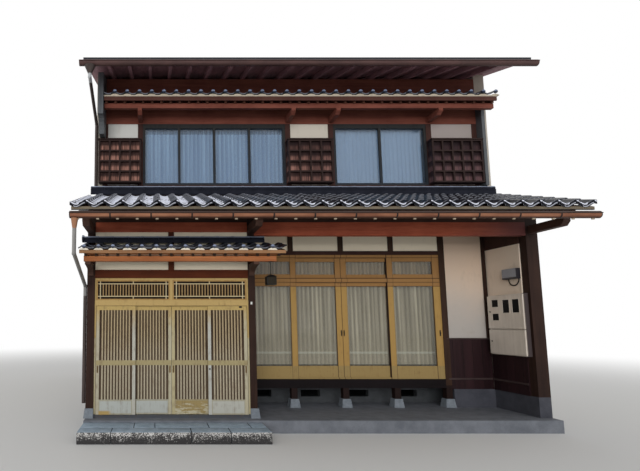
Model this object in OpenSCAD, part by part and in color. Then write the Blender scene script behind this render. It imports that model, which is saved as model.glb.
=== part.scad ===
// Two-storey townhouse in a row: lattice entrance under a small tiled canopy,
// recessed window front behind a deep tiled eave, and an upper storey with
// sliding windows, lattice shutter boxes and a pent roof below the main eave.
// Millimetres. X runs along the street, the street is on the -Y side, and Z
// is up from the street level.

/* [Plan] */
// Width of the house between the middles of its outer posts
house_w = 7475; // [7200:5:7700]
// Number of bays beside the entrance, the last one plastered
bay_count = 5; // [4:1:6]
// Entrance width between post centres
entrance_w = 2700; // [2500:10:2900]
// Depth of the recessed front behind the street line
recess_d = 960; // [850:10:1100]
// Depth from the recessed front to the back wall
house_d = 7640; // [6600:20:8600]
// Thickness of the framed walls
wall_t = 120; // [110:2:134]
// Thickness of the right side wall
side_t = 200; // [180:5:230]
// Depth of the porch floor in front of the street posts
porch_d = 200; // [120:10:300]
// Depth of the entrance step in front of the porch floor
step_d = 670; // [500:10:800]

/* [Base] */
// Height of the porch floor over the street
porch_z = 200; // [160:5:240]
// Height of the entrance step over the street
step_z = 170; // [120:5:190]
// Height of the concrete upstand over the porch floor
plinth_h = 330; // [280:5:360]
// Height of the pedestal stones
stone_h = 155; // [120:5:180]
// Width of a pedestal stone at its top
stone_w = 150; // [140:2:170]
// How much wider a pedestal stone is at its foot
stone_flare = 40; // [10:5:60]
// Height of the raised floor over the porch floor
raised_floor_h = 400; // [380:5:420]
// Thickness of the raised floor deck
deck_t = 40; // [30:2:60]
// Distance of the vented wall behind the window front
vent_setback = 450; // [300:10:600]
// Thickness of the vented wall
vent_wall_t = 120; // [100:5:150]
// Width of one vent
vent_w = 376; // [250:10:450]
// Height of one vent
vent_h = 130; // [80:5:160]
// Height of a vent's sill over the porch floor
vent_sill = 110; // [80:5:150]

/* [Frame] */
// Width of the left street post
left_post_w = 130; // [120:2:140]
// Width of the entrance's right post
entrance_post_w = 115; // [105:5:130]
// Width of the corner post
corner_post_w = 200; // [180:5:220]
// Depth of the corner post
corner_post_d = 150; // [130:5:180]
// Width of the posts of the window front
window_post_w = 110; // [90:5:130]
// Top of the street posts, where the eave plate lies
plate_z = 3530; // [3480:5:3580]
// Height of the beam over the entrance
entrance_beam_h = 244; // [200:2:260]
// Height of the long front beam
front_beam_h = 300; // [250:5:350]
// Width of the eave arms
arm_w = 110; // [90:5:130]
// Reach of the eave arms in front of the street posts
arm_reach = 690; // [600:10:800]
// Width of the outer purlin
purlin_w = 100; // [80:5:120]
// Height of the outer purlin on its outer side
purlin_h = 100; // [80:5:130]

/* [Entrance doors] */
// Height of the sill track
track_h = 43; // [35:1:50]
// Height of a door leaf
leaf_h = 1780; // [1700:10:1830]
// Thickness of a door leaf
leaf_t = 32; // [26:1:34]
// Gap between the two door tracks
track_gap = 10; // [8:1:14]
// Overlap of two neighbouring leaves
leaf_overlap = 52; // [48:1:60]
// Gap around a leaf
leaf_gap = 6; // [5:0.5:8]
// Running gap under the leaf's rollers
roller_gap = 0.3; // [0.2:0.1:0.5]
// Radius of a leaf roller
roller_r = 22; // [18:1:26]
// Width of a leaf stile
stile_w = 52; // [44:1:60]
// Height of a leaf's top rail
top_rail_h = 67; // [55:1:80]
// Height of a leaf's middle rail
mid_rail_h = 80; // [60:1:100]
// Height of a leaf's bottom panel
kick_h = 240; // [200:5:280]
// Height of the middle rail over the leaf's foot
mid_rail_z = 800; // [700:10:900]
// Number of upright slats in a leaf
slat_count = 10; // [8:1:12]
// Width of a slat
slat_w = 24; // [16:1:28]
// Depth of a slat
slat_d = 10; // [8:1:12]
// Thickness of a leaf's pane
pane_t = 5; // [4:1:8]
// Width of the finger pull
pull_w = 24; // [18:1:28]
// Height of the finger pull
pull_h = 110; // [80:5:130]
// Depth of the finger pull
pull_d = 10; // [5:1:12]
// Face width of the door frame's jambs and posts
jamb_w = 25; // [20:1:35]
// Height of the rail over the doors
header_h = 94; // [80:2:110]
// Height of the transom over the doors
transom_h = 370; // [330:5:400]
// Height of the dark lintel over the transom
lintel_h = 140; // [120:5:160]
// Number of fine bars in one transom lattice
transom_bars = 22; // [12:1:26]
// Width of a transom bar
transom_bar_w = 16; // [10:1:20]
// Distance of the transom's border bars from its edge
transom_border = 64; // [50:2:80]

/* [Window front] */
// Underside of the sill beam over the porch floor
sill_beam_up = 350; // [340:2:356]
// Height of the sill beam
sill_beam_h = 165; // [150:5:180]
// Height of the window track
window_track_h = 27; // [20:1:35]
// Height of the sliding windows
sash_h = 1768; // [1700:4:1800]
// Thickness of a sliding window
sash_t = 34; // [28:1:38]
// Width of a sash stile
sash_stile_w = 110; // [90:1:120]
// Height of a sash's bottom rail
sash_kick_h = 210; // [150:5:240]
// Height of a sash's top rail and of the lights' rails
sash_rail_h = 70; // [60:1:80]
// Height of the rail between windows and transom lights
mid_frame_h = 87; // [75:1:100]
// Height of the transom lights
light_h = 440; // [400:5:460]
// Height of the track over the transom lights
light_track_h = 57; // [40:1:65]
// Height of the dark rail over the transom lights
top_frame_h = 76; // [60:1:90]
// How far the girder's underside lies below the eave plate
girder_drop = 90; // [60:5:120]
// Height of the wainscot over the upstand
wainscot_h = 940; // [850:10:1000]
// Thickness of the cladding on the side wall of the recess
cladding_t = 20; // [15:1:30]
// Thickness of a glass pane
glass_t = 6; // [4:1:8]

/* [Meter cabinet] */
// Width of the meter cabinet
cabinet_w = 830; // [700:10:850]
// Height of the meter cabinet
cabinet_h = 1065; // [950:5:1100]
// Depth of the meter cabinet without its covers
cabinet_d = 70; // [60:5:90]
// Height of the meter cabinet over the porch floor
cabinet_up = 985; // [900:5:1050]
// Height of the lower cover
lower_cover_h = 452; // [400:2:500]
// Thickness of the cabinet's sheet walls
sheet_t = 12; // [8:1:20]
// Thickness of a cover
cover_t = 20; // [16:1:26]
// Gap around a cover
cover_gap = 6; // [5:1:8]
// Radius of the hinge pin
pin_r = 5; // [4:0.5:6]
// Radius of the hinge knuckle
knuckle_r = 9; // [8.5:0.5:11]
// Running gap between pin and knuckle
pin_gap = 0.3; // [0.2:0.1:0.5]

/* [Lower roof] */
// Overhang of the lower roof in front of the street posts
lower_over = 1050; // [950:10:1150]
// Top of the tiles at the lower eave over the plate
lower_up = 10; // [0:5:60]
// Slope of the lower roof
lower_slope = 0.34; // [0.31:0.01:0.37]
// Overhang of the lower roof past the side walls
lower_verge = 120; // [60:10:160]
// Overhang of the lower roof past the right side
lower_right_verge = 20; // [15:5:60]
// Thickness of a tile layer
tile_t = 80; // [60:2:90]
// Thickness of the roof boards
board_t = 20; // [15:1:25]
// Height of the lower rafters
rafter_h = 80; // [70:2:100]
// Width of the lower rafters
rafter_w = 50; // [40:2:60]
// Pitch of the lower rafters
rafter_pitch = 300; // [270:5:360]
// Setback of the boards behind the tile edge
board_setback = 30; // [20:5:50]
// Height of the fascia board under an eave
fascia_h = 48; // [30:2:60]
// Height of the ridge courses along a wall
ridge_h = 130; // [100:5:140]
// Depth of the ridge courses along a wall
ridge_d = 150; // [120:5:170]

/* [Canopy] */
// Overhang of the entrance canopy
canopy_over = 500; // [440:10:560]
// Top of the tiles at the canopy's eave over the dark lintel
canopy_up = 336; // [320:2:350]
// Slope of the canopy
canopy_slope = 0.28; // [0.24:0.01:0.3]
// Overhang of the canopy past the left post
canopy_left = 78; // [50:2:100]
// Overhang of the canopy past the entrance's right post
canopy_right = 410; // [350:10:450]
// Height of the canopy rafters
small_rafter_h = 85; // [70:1:95]
// Width of the small rafters
small_rafter_w = 40; // [30:2:50]
// Pitch of the small rafters
small_rafter_pitch = 172; // [150:2:220]
// Height of the canopy's ridge courses
canopy_ridge_h = 72; // [60:2:90]
// Depth of the canopy's ridge courses
canopy_ridge_d = 110; // [80:5:130]
// Depth of the canopy purlin
canopy_purlin_w = 80; // [60:5:90]
// Height of the canopy purlin on its outer side
canopy_purlin_h = 84; // [70:2:95]
// Distance of the canopy purlin in front of the posts
canopy_purlin_y = 340; // [300:5:360]
// Height of the canopy's curved arms
canopy_arm_h = 190; // [150:5:210]
// Width of the lantern
lantern_w = 150; // [140:5:170]
// Height of the lantern
lantern_h = 160; // [140:5:180]
// Length of the lantern's rod
lantern_rod = 220; // [180:5:260]

/* [Upper storey] */
// Sill of the upper windows over the plate
upper_sill_up = 870; // [850:5:910]
// Height of the upper windows
upper_window_h = 1190; // [1100:10:1200]
// Height of the rail over the upper windows
upper_rail_h = 40; // [30:2:60]
// Width of the upper posts
upper_post_w = 100; // [90:2:110]
// Distance from the left corner to the first upper post
left_box_bay = 792; // [760:2:820]
// Width of the left upper window bay between post centres
left_window_bay = 2880; // [2800:10:2950]
// Width of the middle shutter box bay between post centres
mid_box_bay = 840; // [800:5:880]
// Width of the right upper window bay between post centres
right_window_bay = 1915; // [1850:5:1980]
// Height of the shutter boxes
box_h = 840; // [800:5:880]
// Depth of the shutter boxes
box_d = 160; // [120:5:180]
// Depth of the shutter boxes' lattice cells
box_cell_d = 45; // [30:5:60]
// Width of a shutter box's lattice bar
box_bar_w = 30; // [20:2:40]
// Face width of the upper window frames
upper_frame_w = 45; // [35:1:55]
// Overhang of the pent roof
pent_over = 500; // [450:10:550]
// Top of the tiles at the pent roof's eave over the upper window head
pent_up = 450; // [420:5:490]
// Slope of the pent roof
pent_slope = 0.3; // [0.26:0.01:0.33]
// Thickness of the pent roof's tiles on their bed of clay
pent_tile_t = 140; // [120:5:150]
// Height of the pent roof's rafters
pent_rafter_h = 95; // [80:5:105]
// Height of the pent roof's fascia board
pent_fascia_h = 75; // [60:5:80]
// Distance of the pent roof's purlin behind its eave
pent_purlin_back = 100; // [80:5:130]
// Width of the pent roof's purlin
pent_purlin_w = 80; // [60:5:100]
// Height of the pent roof's purlin
pent_purlin_h = 95; // [80:5:105]
// Width of the pent roof's arms
pent_arm_w = 80; // [60:5:100]
// Height of the pent roof's arms
pent_arm_h = 110; // [80:5:130]
// Width of the wing walls
wing_w = 100; // [80:5:120]
// Reach of the left wing wall at its foot
wing_reach = 330; // [280:10:400]
// Reach of the board under the pent roof's right end
wing_board_reach = 160; // [140:5:165]

/* [Main roof] */
// Overhang of the main roof in front of the upper wall
main_over = 1000; // [900:10:1080]
// Top of the main roof's edge over the upper window head
main_up = 770; // [730:5:820]
// Slope of the main roof
main_slope = 0.3; // [0.28:0.01:0.34]
// Overhang of the main roof past the side walls
main_verge = 120; // [80:10:180]
// Thickness of the roof sheet with its battens
sheet_roof_t = 40; // [30:2:60]
// Height of the main rafters
main_rafter_h = 90; // [80:2:110]
// Width of the main rafters
main_rafter_w = 55; // [45:1:65]
// Pitch of the main rafters
main_rafter_pitch = 364; // [330:2:400]
// Width of the ridge cap
cap_w = 260; // [200:10:320]
// Height of the ridge cap
cap_h = 90; // [60:5:120]

/* [Gutters] */
// Radius of the gutters
gutter_r = 55; // [50:1:58]
// Height of a gutter's straight sides
gutter_side = 20; // [10:5:30]
// Thickness of the gutter sheet
gutter_t = 5; // [4:0.5:7]
// Number of lengths that a gutter is joined from
gutter_lengths = 6; // [5:1:8]
// Gap between the roof edge and the gutter's middle
gutter_out = 45; // [35:5:50]
// How far the lower gutter's rim lies under the tiles
lower_gutter_drop = 115; // [100:5:130]
// How far the main gutter's rim lies under the roof sheet
main_gutter_drop = 70; // [60:5:90]
// Width of a gutter bracket
bracket_w = 16; // [10:1:20]
// Radius of the downspouts
spout_r = 30; // [24:1:34]
// Radius of the collector under the main gutter
collector_r = 95; // [80:5:110]
// How much fatter an elbow is than its pipe
elbow_lip = 4; // [2:0.5:6]

/* [Back wall] */
// Distance of the back door from the left side
back_door_x = 620; // [400:10:800]
// Width of the back door
back_door_w = 900; // [800:10:1000]
// Height of the back door over the porch floor
back_door_h = 1990; // [1900:10:2050]
// Distance of the wide back window from the entrance's right post
back_wide_x = 330; // [200:10:500]
// Width of the wide back window
back_wide_w = 1800; // [1500:10:1900]
// Sill of the wide back window over the raised floor
back_wide_sill = 450; // [400:10:600]
// Distance of the small back window from the right side
back_small_x = 700; // [500:10:800]
// Width of the small back window
back_small_w = 1200; // [900:10:1300]
// Sill of the small back window over the raised floor
back_small_sill = 900; // [800:10:1000]
// Head of the back windows over the raised floor
back_head = 1650; // [1600:10:1800]

/* [Hidden] */

// Joint between neighbouring solids of one sub-part
seam = 0.5;
// Smoothness of round pieces
round_n = 48;

// Grid lines along the street
bay = (house_w - entrance_w) / bay_count;
x_left = -house_w / 2;
x_ent = x_left + entrance_w;
x_right = house_w / 2;
window_bays = bay_count - 1;
x_win = x_ent + bay * window_bays;
x_mid = (x_left + x_ent) / 2;

// Grid lines across the house
y_street = -(recess_d + house_d) / 2;
y_front = y_street + recess_d;
y_back = y_front + house_d;
street_face = y_street - wall_t / 2;
street_rear = y_street + wall_t / 2;
front_face = y_front - wall_t / 2;
front_rear = y_front + wall_t / 2;
back_face = y_back + wall_t / 2;
back_rear = y_back - wall_t / 2;
ridge_y = (front_face + back_face) / 2;

// Side walls, each as its outer and inner face
left_out = x_left - wall_t / 2;
left_in = x_left + wall_t / 2;
right_in = x_right - corner_post_w / 2;
right_out = right_in + side_t;
left_post_x = [x_left - left_post_w / 2, x_left + left_post_w / 2];
ent_post_x = [x_ent - entrance_post_w / 2, x_ent + entrance_post_w / 2];
corner_post_x = [right_in, right_in + corner_post_w];
house_x = [left_post_x[0], max(right_out, corner_post_x[1])];
hall_wall_x = [x_ent - wall_t / 2 + 10, x_ent + wall_t / 2 - 10];
win_post_x = [x_win - window_post_w / 2, x_win + window_post_w / 2];

// Levels
girder_z = plate_z - girder_drop;
entrance_beam_z = plate_z - entrance_beam_h;
front_beam_z = plate_z - front_beam_h;
upper_sill_z = plate_z + upper_sill_up;
plinth_z = porch_z + plinth_h;
stone_z = porch_z + stone_h;
raised_z = porch_z + raised_floor_h;
track_z = porch_z + track_h;
leaf_z = track_z + leaf_gap + roller_gap;
header_z = leaf_z + leaf_h + leaf_gap;
transom_z = header_z + header_h;
lintel_z = transom_z + transom_h;
entrance_panel_z = lintel_z + lintel_h;
sill_beam_z = porch_z + sill_beam_up;
window_track_z = sill_beam_z + sill_beam_h;
sash_z = window_track_z + window_track_h;
mid_frame_z = sash_z + sash_h;
light_z = mid_frame_z + mid_frame_h;
top_frame_z = light_z + light_h;
light_top_z = top_frame_z - light_track_h;
window_panel_z = top_frame_z + top_frame_h;
wainscot_z = plinth_z + wainscot_h;
upper_top_z = upper_sill_z + upper_window_h + upper_rail_h;
box_z = upper_sill_z + 10;

// Roofs: eave line, top at the eave, slope, covering, boards, rafters
lower = [street_face - lower_over, plate_z + lower_up, lower_slope, tile_t, board_t, rafter_h];
canopy = [street_face - canopy_over, entrance_panel_z + canopy_up, canopy_slope, tile_t, board_t,
    small_rafter_h];
pent = [front_face - pent_over, upper_top_z + pent_up, pent_slope, pent_tile_t, board_t, pent_rafter_h];
main = [front_face - main_over, upper_top_z + main_up, main_slope, sheet_roof_t, board_t, main_rafter_h];
function roof_top(r, y) = r[1] + r[2] * (y - r[0]);
function boards_top(r, y) = roof_top(r, y) - r[3];
function boards_under(r, y) = boards_top(r, y) - r[4];
function rafters_under(r, y) = boards_under(r, y) - r[5];
side_joint_z = boards_under(lower, front_face);
lower_x = [house_x[0] - lower_verge, house_x[1] + lower_right_verge];
main_x = [house_x[0] - main_verge, house_x[1] + main_verge];
canopy_x = [left_post_x[0] - canopy_left, ent_post_x[1] + canopy_right];

// Upper storey grid
box_x = [left_out, left_out + left_box_bay];
upper_x = [left_in + upper_post_w / 2, left_out + left_box_bay + wall_t / 2,
    left_out + left_box_bay + wall_t / 2 + left_window_bay,
    left_out + left_box_bay + wall_t / 2 + left_window_bay + mid_box_bay,
    left_out + left_box_bay + wall_t / 2 + left_window_bay + mid_box_bay + right_window_bay,
    right_in - upper_post_w / 2];
wing_left_x = [left_in - 40, left_in - 40 + wing_w];
wing_right_x = [right_in - 10, right_in + 50];
pent_x = [wing_left_x[1] + 5, wing_right_x[1] + 5];
upper_frame_t = 90;
upper_face = front_face + 10;
upper_windows_x = [[upper_x[1] + upper_post_w / 2, upper_x[2] - upper_post_w / 2],
    [upper_x[3] + upper_post_w / 2, upper_x[4] - upper_post_w / 2]];
upper_panes = [4, 2];

// Entrance doors
door_x = [left_post_x[1], ent_post_x[0]];
door_clear_x = [door_x[0] + jamb_w, door_x[1] - jamb_w];
leaf_w = (door_clear_x[1] - door_clear_x[0] - 2 * leaf_gap - leaf_gap + 2 * leaf_overlap) / 4;
leaf_1_x = door_clear_x[0] + leaf_gap;
leaf_2_x = leaf_1_x + leaf_w - leaf_overlap;
leaf_3_x = leaf_2_x + leaf_w + leaf_gap;
leaf_4_x = leaf_3_x + leaf_w - leaf_overlap;
frame_y = [street_face + 15, street_rear - 5];
front_track_y = frame_y[0] + 6;
back_track_y = front_track_y + leaf_t + track_gap;

// Window front
window_x = [x_ent + window_post_w / 2, win_post_x[0]];
window_jamb = 20;
sash_clear = window_x[1] - window_x[0] - 2 * window_jamb;
sash_w = (sash_clear + (window_bays / 2) * sash_stile_w) / window_bays;
sash_front_y = front_face + 14;
sash_back_y = sash_front_y + sash_t + 4;
rail_z = mid_frame_z + 10;
rail_d = 40;
curtain_t = 20;

// Meter cabinet on the right side wall of the recess
cladding_x = right_in - cladding_t;
cabinet_z = porch_z + cabinet_up;
cabinet_y = [front_face - 100 - cabinet_w, front_face - 100];
cabinet_x = [cladding_x - cabinet_d, cladding_x];
cover_x = cabinet_x[0] - cover_gap - cover_t;
hinge_x = cover_x + cover_t / 2;
hinge_y = cabinet_y[0] + knuckle_r;
cover_y = [hinge_y + knuckle_r + 3, cabinet_y[1] - 4];

// Back wall openings, as the side of each opening along the wall
back_open_x = [[x_left + back_door_x, x_left + back_door_x + back_door_w],
    [x_ent + back_wide_x, x_ent + back_wide_x + back_wide_w],
    [x_right - back_small_x - back_small_w, x_right - back_small_x]];
back_ground_z = [[porch_z, porch_z + back_door_h], [raised_z + back_wide_sill, raised_z + back_head],
    [raised_z + back_small_sill, raised_z + back_head]];
back_upper_z = [upper_sill_z, upper_sill_z + upper_window_h];

// Block between two opposite corners, given as ranges
module block(x, y, z) {
    translate([x[0], y[0], z[0]]) cube([x[1] - x[0], y[1] - y[0], z[1] - z[0]]);
}

// Profile in the Y-Z plane drawn out along X
module along_x(x, points) {
    translate([x[0], 0, 0]) rotate([90, 0, 90]) linear_extrude(x[1] - x[0]) polygon(points);
}

// Round bar between two points
module rod(a, b, r) {
    d = b - a;
    translate(a) rotate([0, acos(d[2] / norm(d)), atan2(d[1], d[0])])
        cylinder(h = norm(d), r = r, $fn = round_n);
}

// Flat layer of a roof between two lines, from a top height to a thickness
module roof_layer(r, x, y, drop, t) {
    along_x(x, [[y[0], roof_top(r, y[0]) - drop], [y[1], roof_top(r, y[1]) - drop],
        [y[1], roof_top(r, y[1]) - drop - t], [y[0], roof_top(r, y[0]) - drop - t]]);
}

// Middle of each rafter along the eave
function rafter_places(x, pitch, w) = let (n = floor((x[1] - x[0] - w) / pitch))
    [for (i = [0:n]) (x[0] + x[1] - n * pitch) / 2 + i * pitch];

// Boards and fascia with rafters under them, fused as they are nailed together
module roof_boards(r, x, y, rafters_x, pitch, w, fascia = fascia_h) {
    roof_layer(r, x, [y[0] + board_setback, y[1]], r[3], r[4]);
    block(x, [y[0] + 5, y[0] + board_setback + 1], [boards_top(r, y[0]) - fascia, boards_top(r, y[0])]);
    for (rx = rafter_places(rafters_x, pitch, w))
        roof_layer(r, [rx - w / 2, rx + w / 2], [y[0] + 2 * board_setback, y[1]], r[3] + r[4] - 1, r[5] + 1);
}

// Post or beam whose top follows the underside of a roof's rafters
module under_rafters(r, x, y, z) {
    along_x(x, [[y[0], z], [y[1], z], [y[1], rafters_under(r, y[1])], [y[0], rafters_under(r, y[0])]]);
}

// Concrete raft and porch floor
module foundation_slab() {
    color("#8d8f90") block(house_x, [street_face - porch_d, back_face], [0, porch_z]);
}

// Stone step in front of the doors
module entrance_step() {
    color("#9a9a96")
        block([left_post_x[0], ent_post_x[1] + 20], [street_face - porch_d - step_d, street_face - porch_d],
            [0, step_z]);
}

// Concrete upstands under the walls and the raised floor
module plinth_walls() {
    z = [porch_z, plinth_z];
    curb_z = [porch_z, raised_z - deck_t];
    color("#85878a") {
        block([win_post_x[1] + stone_flare, right_in - seam], [front_face + 10, front_rear - 10], z);
        block([right_in, right_out], [street_face, back_face], z);
        block([left_out, left_in], [y_street + (stone_w + stone_flare) / 2 + seam, back_face], z);
        block(hall_wall_x, [street_rear + 50, front_face - 50], z);
        block(hall_wall_x, [front_rear + 50, back_rear - seam], curb_z);
        block([left_in + seam, back_open_x[0][0]], [back_rear, back_face], z);
        block([back_open_x[0][1], right_in - seam], [back_rear, back_face], z);
        for (k = [1:2])
            block([hall_wall_x[1] + seam, right_in - seam],
                [front_rear + house_d * k / 3 - 60, front_rear + house_d * k / 3 + 60], curb_z);
    }
}

// Wall under the raised floor: two courses with piers between them that leave one vent in each bay
module vent_wall() {
    x = [hall_wall_x[1] + seam, win_post_x[0]];
    y = [front_rear + vent_setback, front_rear + vent_setback + vent_wall_t];
    sill = porch_z + vent_sill;
    head = sill + vent_h;
    color("#5f6264") {
        block(x, y, [porch_z, sill]);
        block(x, y, [head, raised_z - deck_t]);
        for (k = [0:window_bays])
            block([k == 0 ? x[0] : x_ent + bay * (k - 0.5) + vent_w / 2,
                k == window_bays ? x[1] : x_ent + bay * (k + 0.5) - vent_w / 2],
                y, [sill + seam, head - seam]);
    }
}

// Tapered stone with a square head
module stone(x, y, w) {
    foot = w + stone_flare;
    translate([x, y, porch_z]) linear_extrude(stone_h, scale = w / foot) square(foot, center = true);
}

// Stones under the posts, cut back where the door frame stands
module pedestal_stones() {
    color("#8a8f94") difference() {
        union() {
            stone(x_left, y_street, stone_w);
            stone(x_ent, y_street, stone_w);
            for (k = [1:window_bays]) stone(x_ent + bay * k, y_front, stone_w);
        }
        block([door_x[0], door_x[1]], [street_face - 100, street_rear + 100], [porch_z - 1, stone_z + 1]);
    }
}

// Posts along the street line
module street_posts() {
    color("#3a2420") {
        block(left_post_x, [street_face, street_rear], [stone_z, plate_z]);
        block(ent_post_x, [street_face, street_rear], [stone_z, plate_z]);
        block(corner_post_x, [street_face, street_face + corner_post_d], [plinth_z, plate_z]);
    }
}

// Beams between the street posts, with the eave plate on top
module front_beams() {
    color("#7a3a22") {
        block([left_post_x[1], ent_post_x[0]], [street_face + 10, street_rear - 10],
            [entrance_beam_z, plate_z + 1]);
        block([ent_post_x[1], corner_post_x[0]], [street_face, street_rear], [front_beam_z, plate_z + 1]);
        under_rafters(lower, house_x, [street_face, street_rear], plate_z);
    }
}

// Arm with a bevelled end that carries the outer purlin
module eave_arm(x, top) {
    h = 130;
    along_x([x - arm_w / 2, x + arm_w / 2], [[street_face, top - h], [street_face, top],
        [street_face - arm_reach, top], [street_face - arm_reach, top - h / 2],
        [street_face - arm_reach + 60, top - h]]);
}

// Arms from the street posts and the purlin that they carry
module eave_arms() {
    y = [street_face - arm_reach + 20, street_face - arm_reach + 20 + purlin_w];
    z = rafters_under(lower, y[0]) - purlin_h;
    color("#4a2a20") {
        for (x = [x_left, x_ent, (corner_post_x[0] + corner_post_x[1]) / 2]) eave_arm(x, z - seam);
        under_rafters(lower, [lower_x[0] + 60, lower_x[1] - 60], y, z);
    }
}

// Boards and rafters of the lower roof
module lower_soffit() {
    color("#5a3424")
        roof_boards(lower, [lower_x[0] + 20, lower_x[1] - 20], [lower[0], front_face],
            [left_in, right_in], rafter_pitch, rafter_w);
}

// Tile layer of the lower roof
module lower_roof() {
    color("#22262f") roof_layer(lower, lower_x, [lower[0], front_face], 0, tile_t);
}

// Stacked flat courses along a wall, the lower one standing out, with a round end
module wall_courses(r, x, y, h, d) {
    for (k = [0:1]) {
        out = d * (1 - 0.2 * k);
        z = roof_top(r, y) + h * k / 2;
        along_x(x, [[y, z], [y, z + h / 2], [y - out, z + h / 2],
            [y - out, z - (k == 0 ? r[2] * out : 0)]]);
    }
}

// Ridge courses of the lower roof and of the canopy
module ridge_courses() {
    color("#2a2e38") {
        wall_courses(lower, [lower_x[0] + 40, lower_x[1] - 40], front_face, ridge_h, ridge_d);
        wall_courses(canopy, [canopy_x[0] + 20, canopy_x[1] - 60], street_face,
            canopy_ridge_h, canopy_ridge_d);
    }
}

// Gutter trough of butted lengths, closed at its two ends
module gutter(r, x, rim) {
    y = r[0] - gutter_out;
    low = rim - gutter_side;
    piece = (x[1] - x[0] + seam) / gutter_lengths;
    for (k = [0:gutter_lengths - 1]) {
        a = x[0] + k * piece;
        b = a + piece - seam;
        hollow = [k == 0 ? a + gutter_t : a - 1, k == gutter_lengths - 1 ? b - gutter_t : b + 1];
        difference() {
            union() {
                rod([a, y, low], [b, y, low], gutter_r);
                block([a, b], [y - gutter_r, y + gutter_r], [low, rim]);
            }
            rod([hollow[0], y, low], [hollow[1], y, low], gutter_r - gutter_t);
            block(hollow, [y - gutter_r + gutter_t, y + gutter_r - gutter_t], [low, rim + 1]);
        }
    }
}

// Angled brackets between a gutter and the rafter ends behind it
module brackets(r, rim, rafters) {
    ends_y = r[0] + 2 * board_setback - seam;
    for (bx = rafters) {
        x = [bx - bracket_w / 2, bx + bracket_w / 2];
        block(x, [r[0] - gutter_out + gutter_r + seam, ends_y], [rim - 22, rim - 4]);
        block(x, [ends_y - 6, ends_y], [rim - 22, rafters_under(r, ends_y) + 50]);
    }
}

lower_rim = boards_top(lower, lower[0]) - lower_gutter_drop;
main_rim = boards_top(main, main[0]) - main_gutter_drop;
lower_rafters = rafter_places([left_in, right_in], rafter_pitch, rafter_w);
main_rafters = rafter_places([left_in, right_in], main_rafter_pitch, main_rafter_w);

// Gutter of the lower eave
module lower_gutter() {
    color("#6f4630") gutter(lower, [lower_x[0] + 10, lower_x[1] - 10], lower_rim);
}

// Brackets of the three gutters, on every second rafter of the main roof
module gutter_brackets() {
    color("#4a3a32") {
        brackets(lower, lower_rim, lower_rafters);
        for (back = [0:1]) translate([0, back * 2 * ridge_y, 0]) mirror([0, back, 0])
            brackets(main, main_rim, [for (i = [0:2:len(main_rafters) - 1]) main_rafters[i]]);
    }
}

// Hopper under a gutter, from its wide mouth down to the pipe
module hopper(x, y, z, r) {
    translate([x, y, z - 150]) cylinder(h = 150, r1 = spout_r, r2 = r, $fn = round_n);
}

// Pipe through a list of points with a round elbow piece at each bend
module pipe(points) {
    for (i = [0:len(points) - 2]) rod(points[i], points[i + 1], spout_r);
    for (i = [1:len(points) - 2]) translate(points[i]) sphere(r = spout_r + elbow_lip, $fn = round_n);
}

// Downspouts of the lower gutter and of the main gutter, each with its wall clips
module downspouts() {
    lower_y = lower[0] - gutter_out;
    main_y = main[0] - gutter_out;
    lower_bottom = lower_rim - gutter_side - gutter_r - seam;
    main_bottom = main_rim - gutter_side - gutter_r - seam;
    lower_spout_x = left_out - spout_r - 12;
    post_y = street_face + 40;
    wall_y = front_face - spout_r - 30;
    color("#7b5140") {
        hopper(lower_spout_x, lower_y, lower_bottom, gutter_r);
        pipe([[lower_spout_x, lower_y, lower_bottom - 140], [lower_spout_x, lower_y, lower_bottom - 520],
            [lower_spout_x, post_y, lower_bottom - 900], [lower_spout_x, post_y, stone_z + 80]]);
        for (z = [plinth_z + 400, header_z - 200])
            block([lower_spout_x, left_post_x[0]], [post_y - 12, post_y + 12], [z, z + 24]);
        hopper(left_out, main_y, main_bottom, collector_r);
        pipe([[left_out, main_y, main_bottom - 140], [left_out, main_y, main_bottom - 200],
            [left_out, wall_y, main_bottom - 620],
            [left_out, wall_y, roof_top(lower, front_face) + ridge_h + 15]]);
        for (z = [upper_sill_z + 200, upper_sill_z + 900])
            block([left_out + 6, left_out + 24], [wall_y, front_face], [z, z + 24]);
    }
}

// Curved arm under the canopy purlin
module canopy_arm(x, z) {
    out = canopy_purlin_y + canopy_purlin_w;
    translate([x - 45, 0, 0]) rotate([90, 0, 90]) linear_extrude(90) difference() {
        translate([street_face - out, z - canopy_arm_h]) square([out, canopy_arm_h]);
        translate([street_face - out, z - canopy_arm_h]) scale([out - 40, canopy_arm_h - 50])
            circle(1, $fn = 64);
    }
}

// Arms and purlin of the canopy
module canopy_frame() {
    y = [street_face - canopy_purlin_y - canopy_purlin_w, street_face - canopy_purlin_y];
    z = rafters_under(canopy, y[0]) - canopy_purlin_h;
    color("#6b3c24") {
        canopy_arm(x_left, z - seam);
        canopy_arm(x_ent, z - seam);
        under_rafters(canopy, [left_post_x[0], ent_post_x[1] + 260], y, z);
    }
}

// Boards and rafters of the canopy
module canopy_soffit() {
    color("#7a4a2c")
        roof_boards(canopy, [canopy_x[0] + 15, canopy_x[1] - 15], [canopy[0], street_face],
            [canopy_x[0] + 30, canopy_x[1] - 30], small_rafter_pitch, small_rafter_w);
}

// Tile layer of the canopy
module canopy_roof() {
    color("#22262f") roof_layer(canopy, canopy_x, [canopy[0], street_face], 0, tile_t);
}

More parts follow.
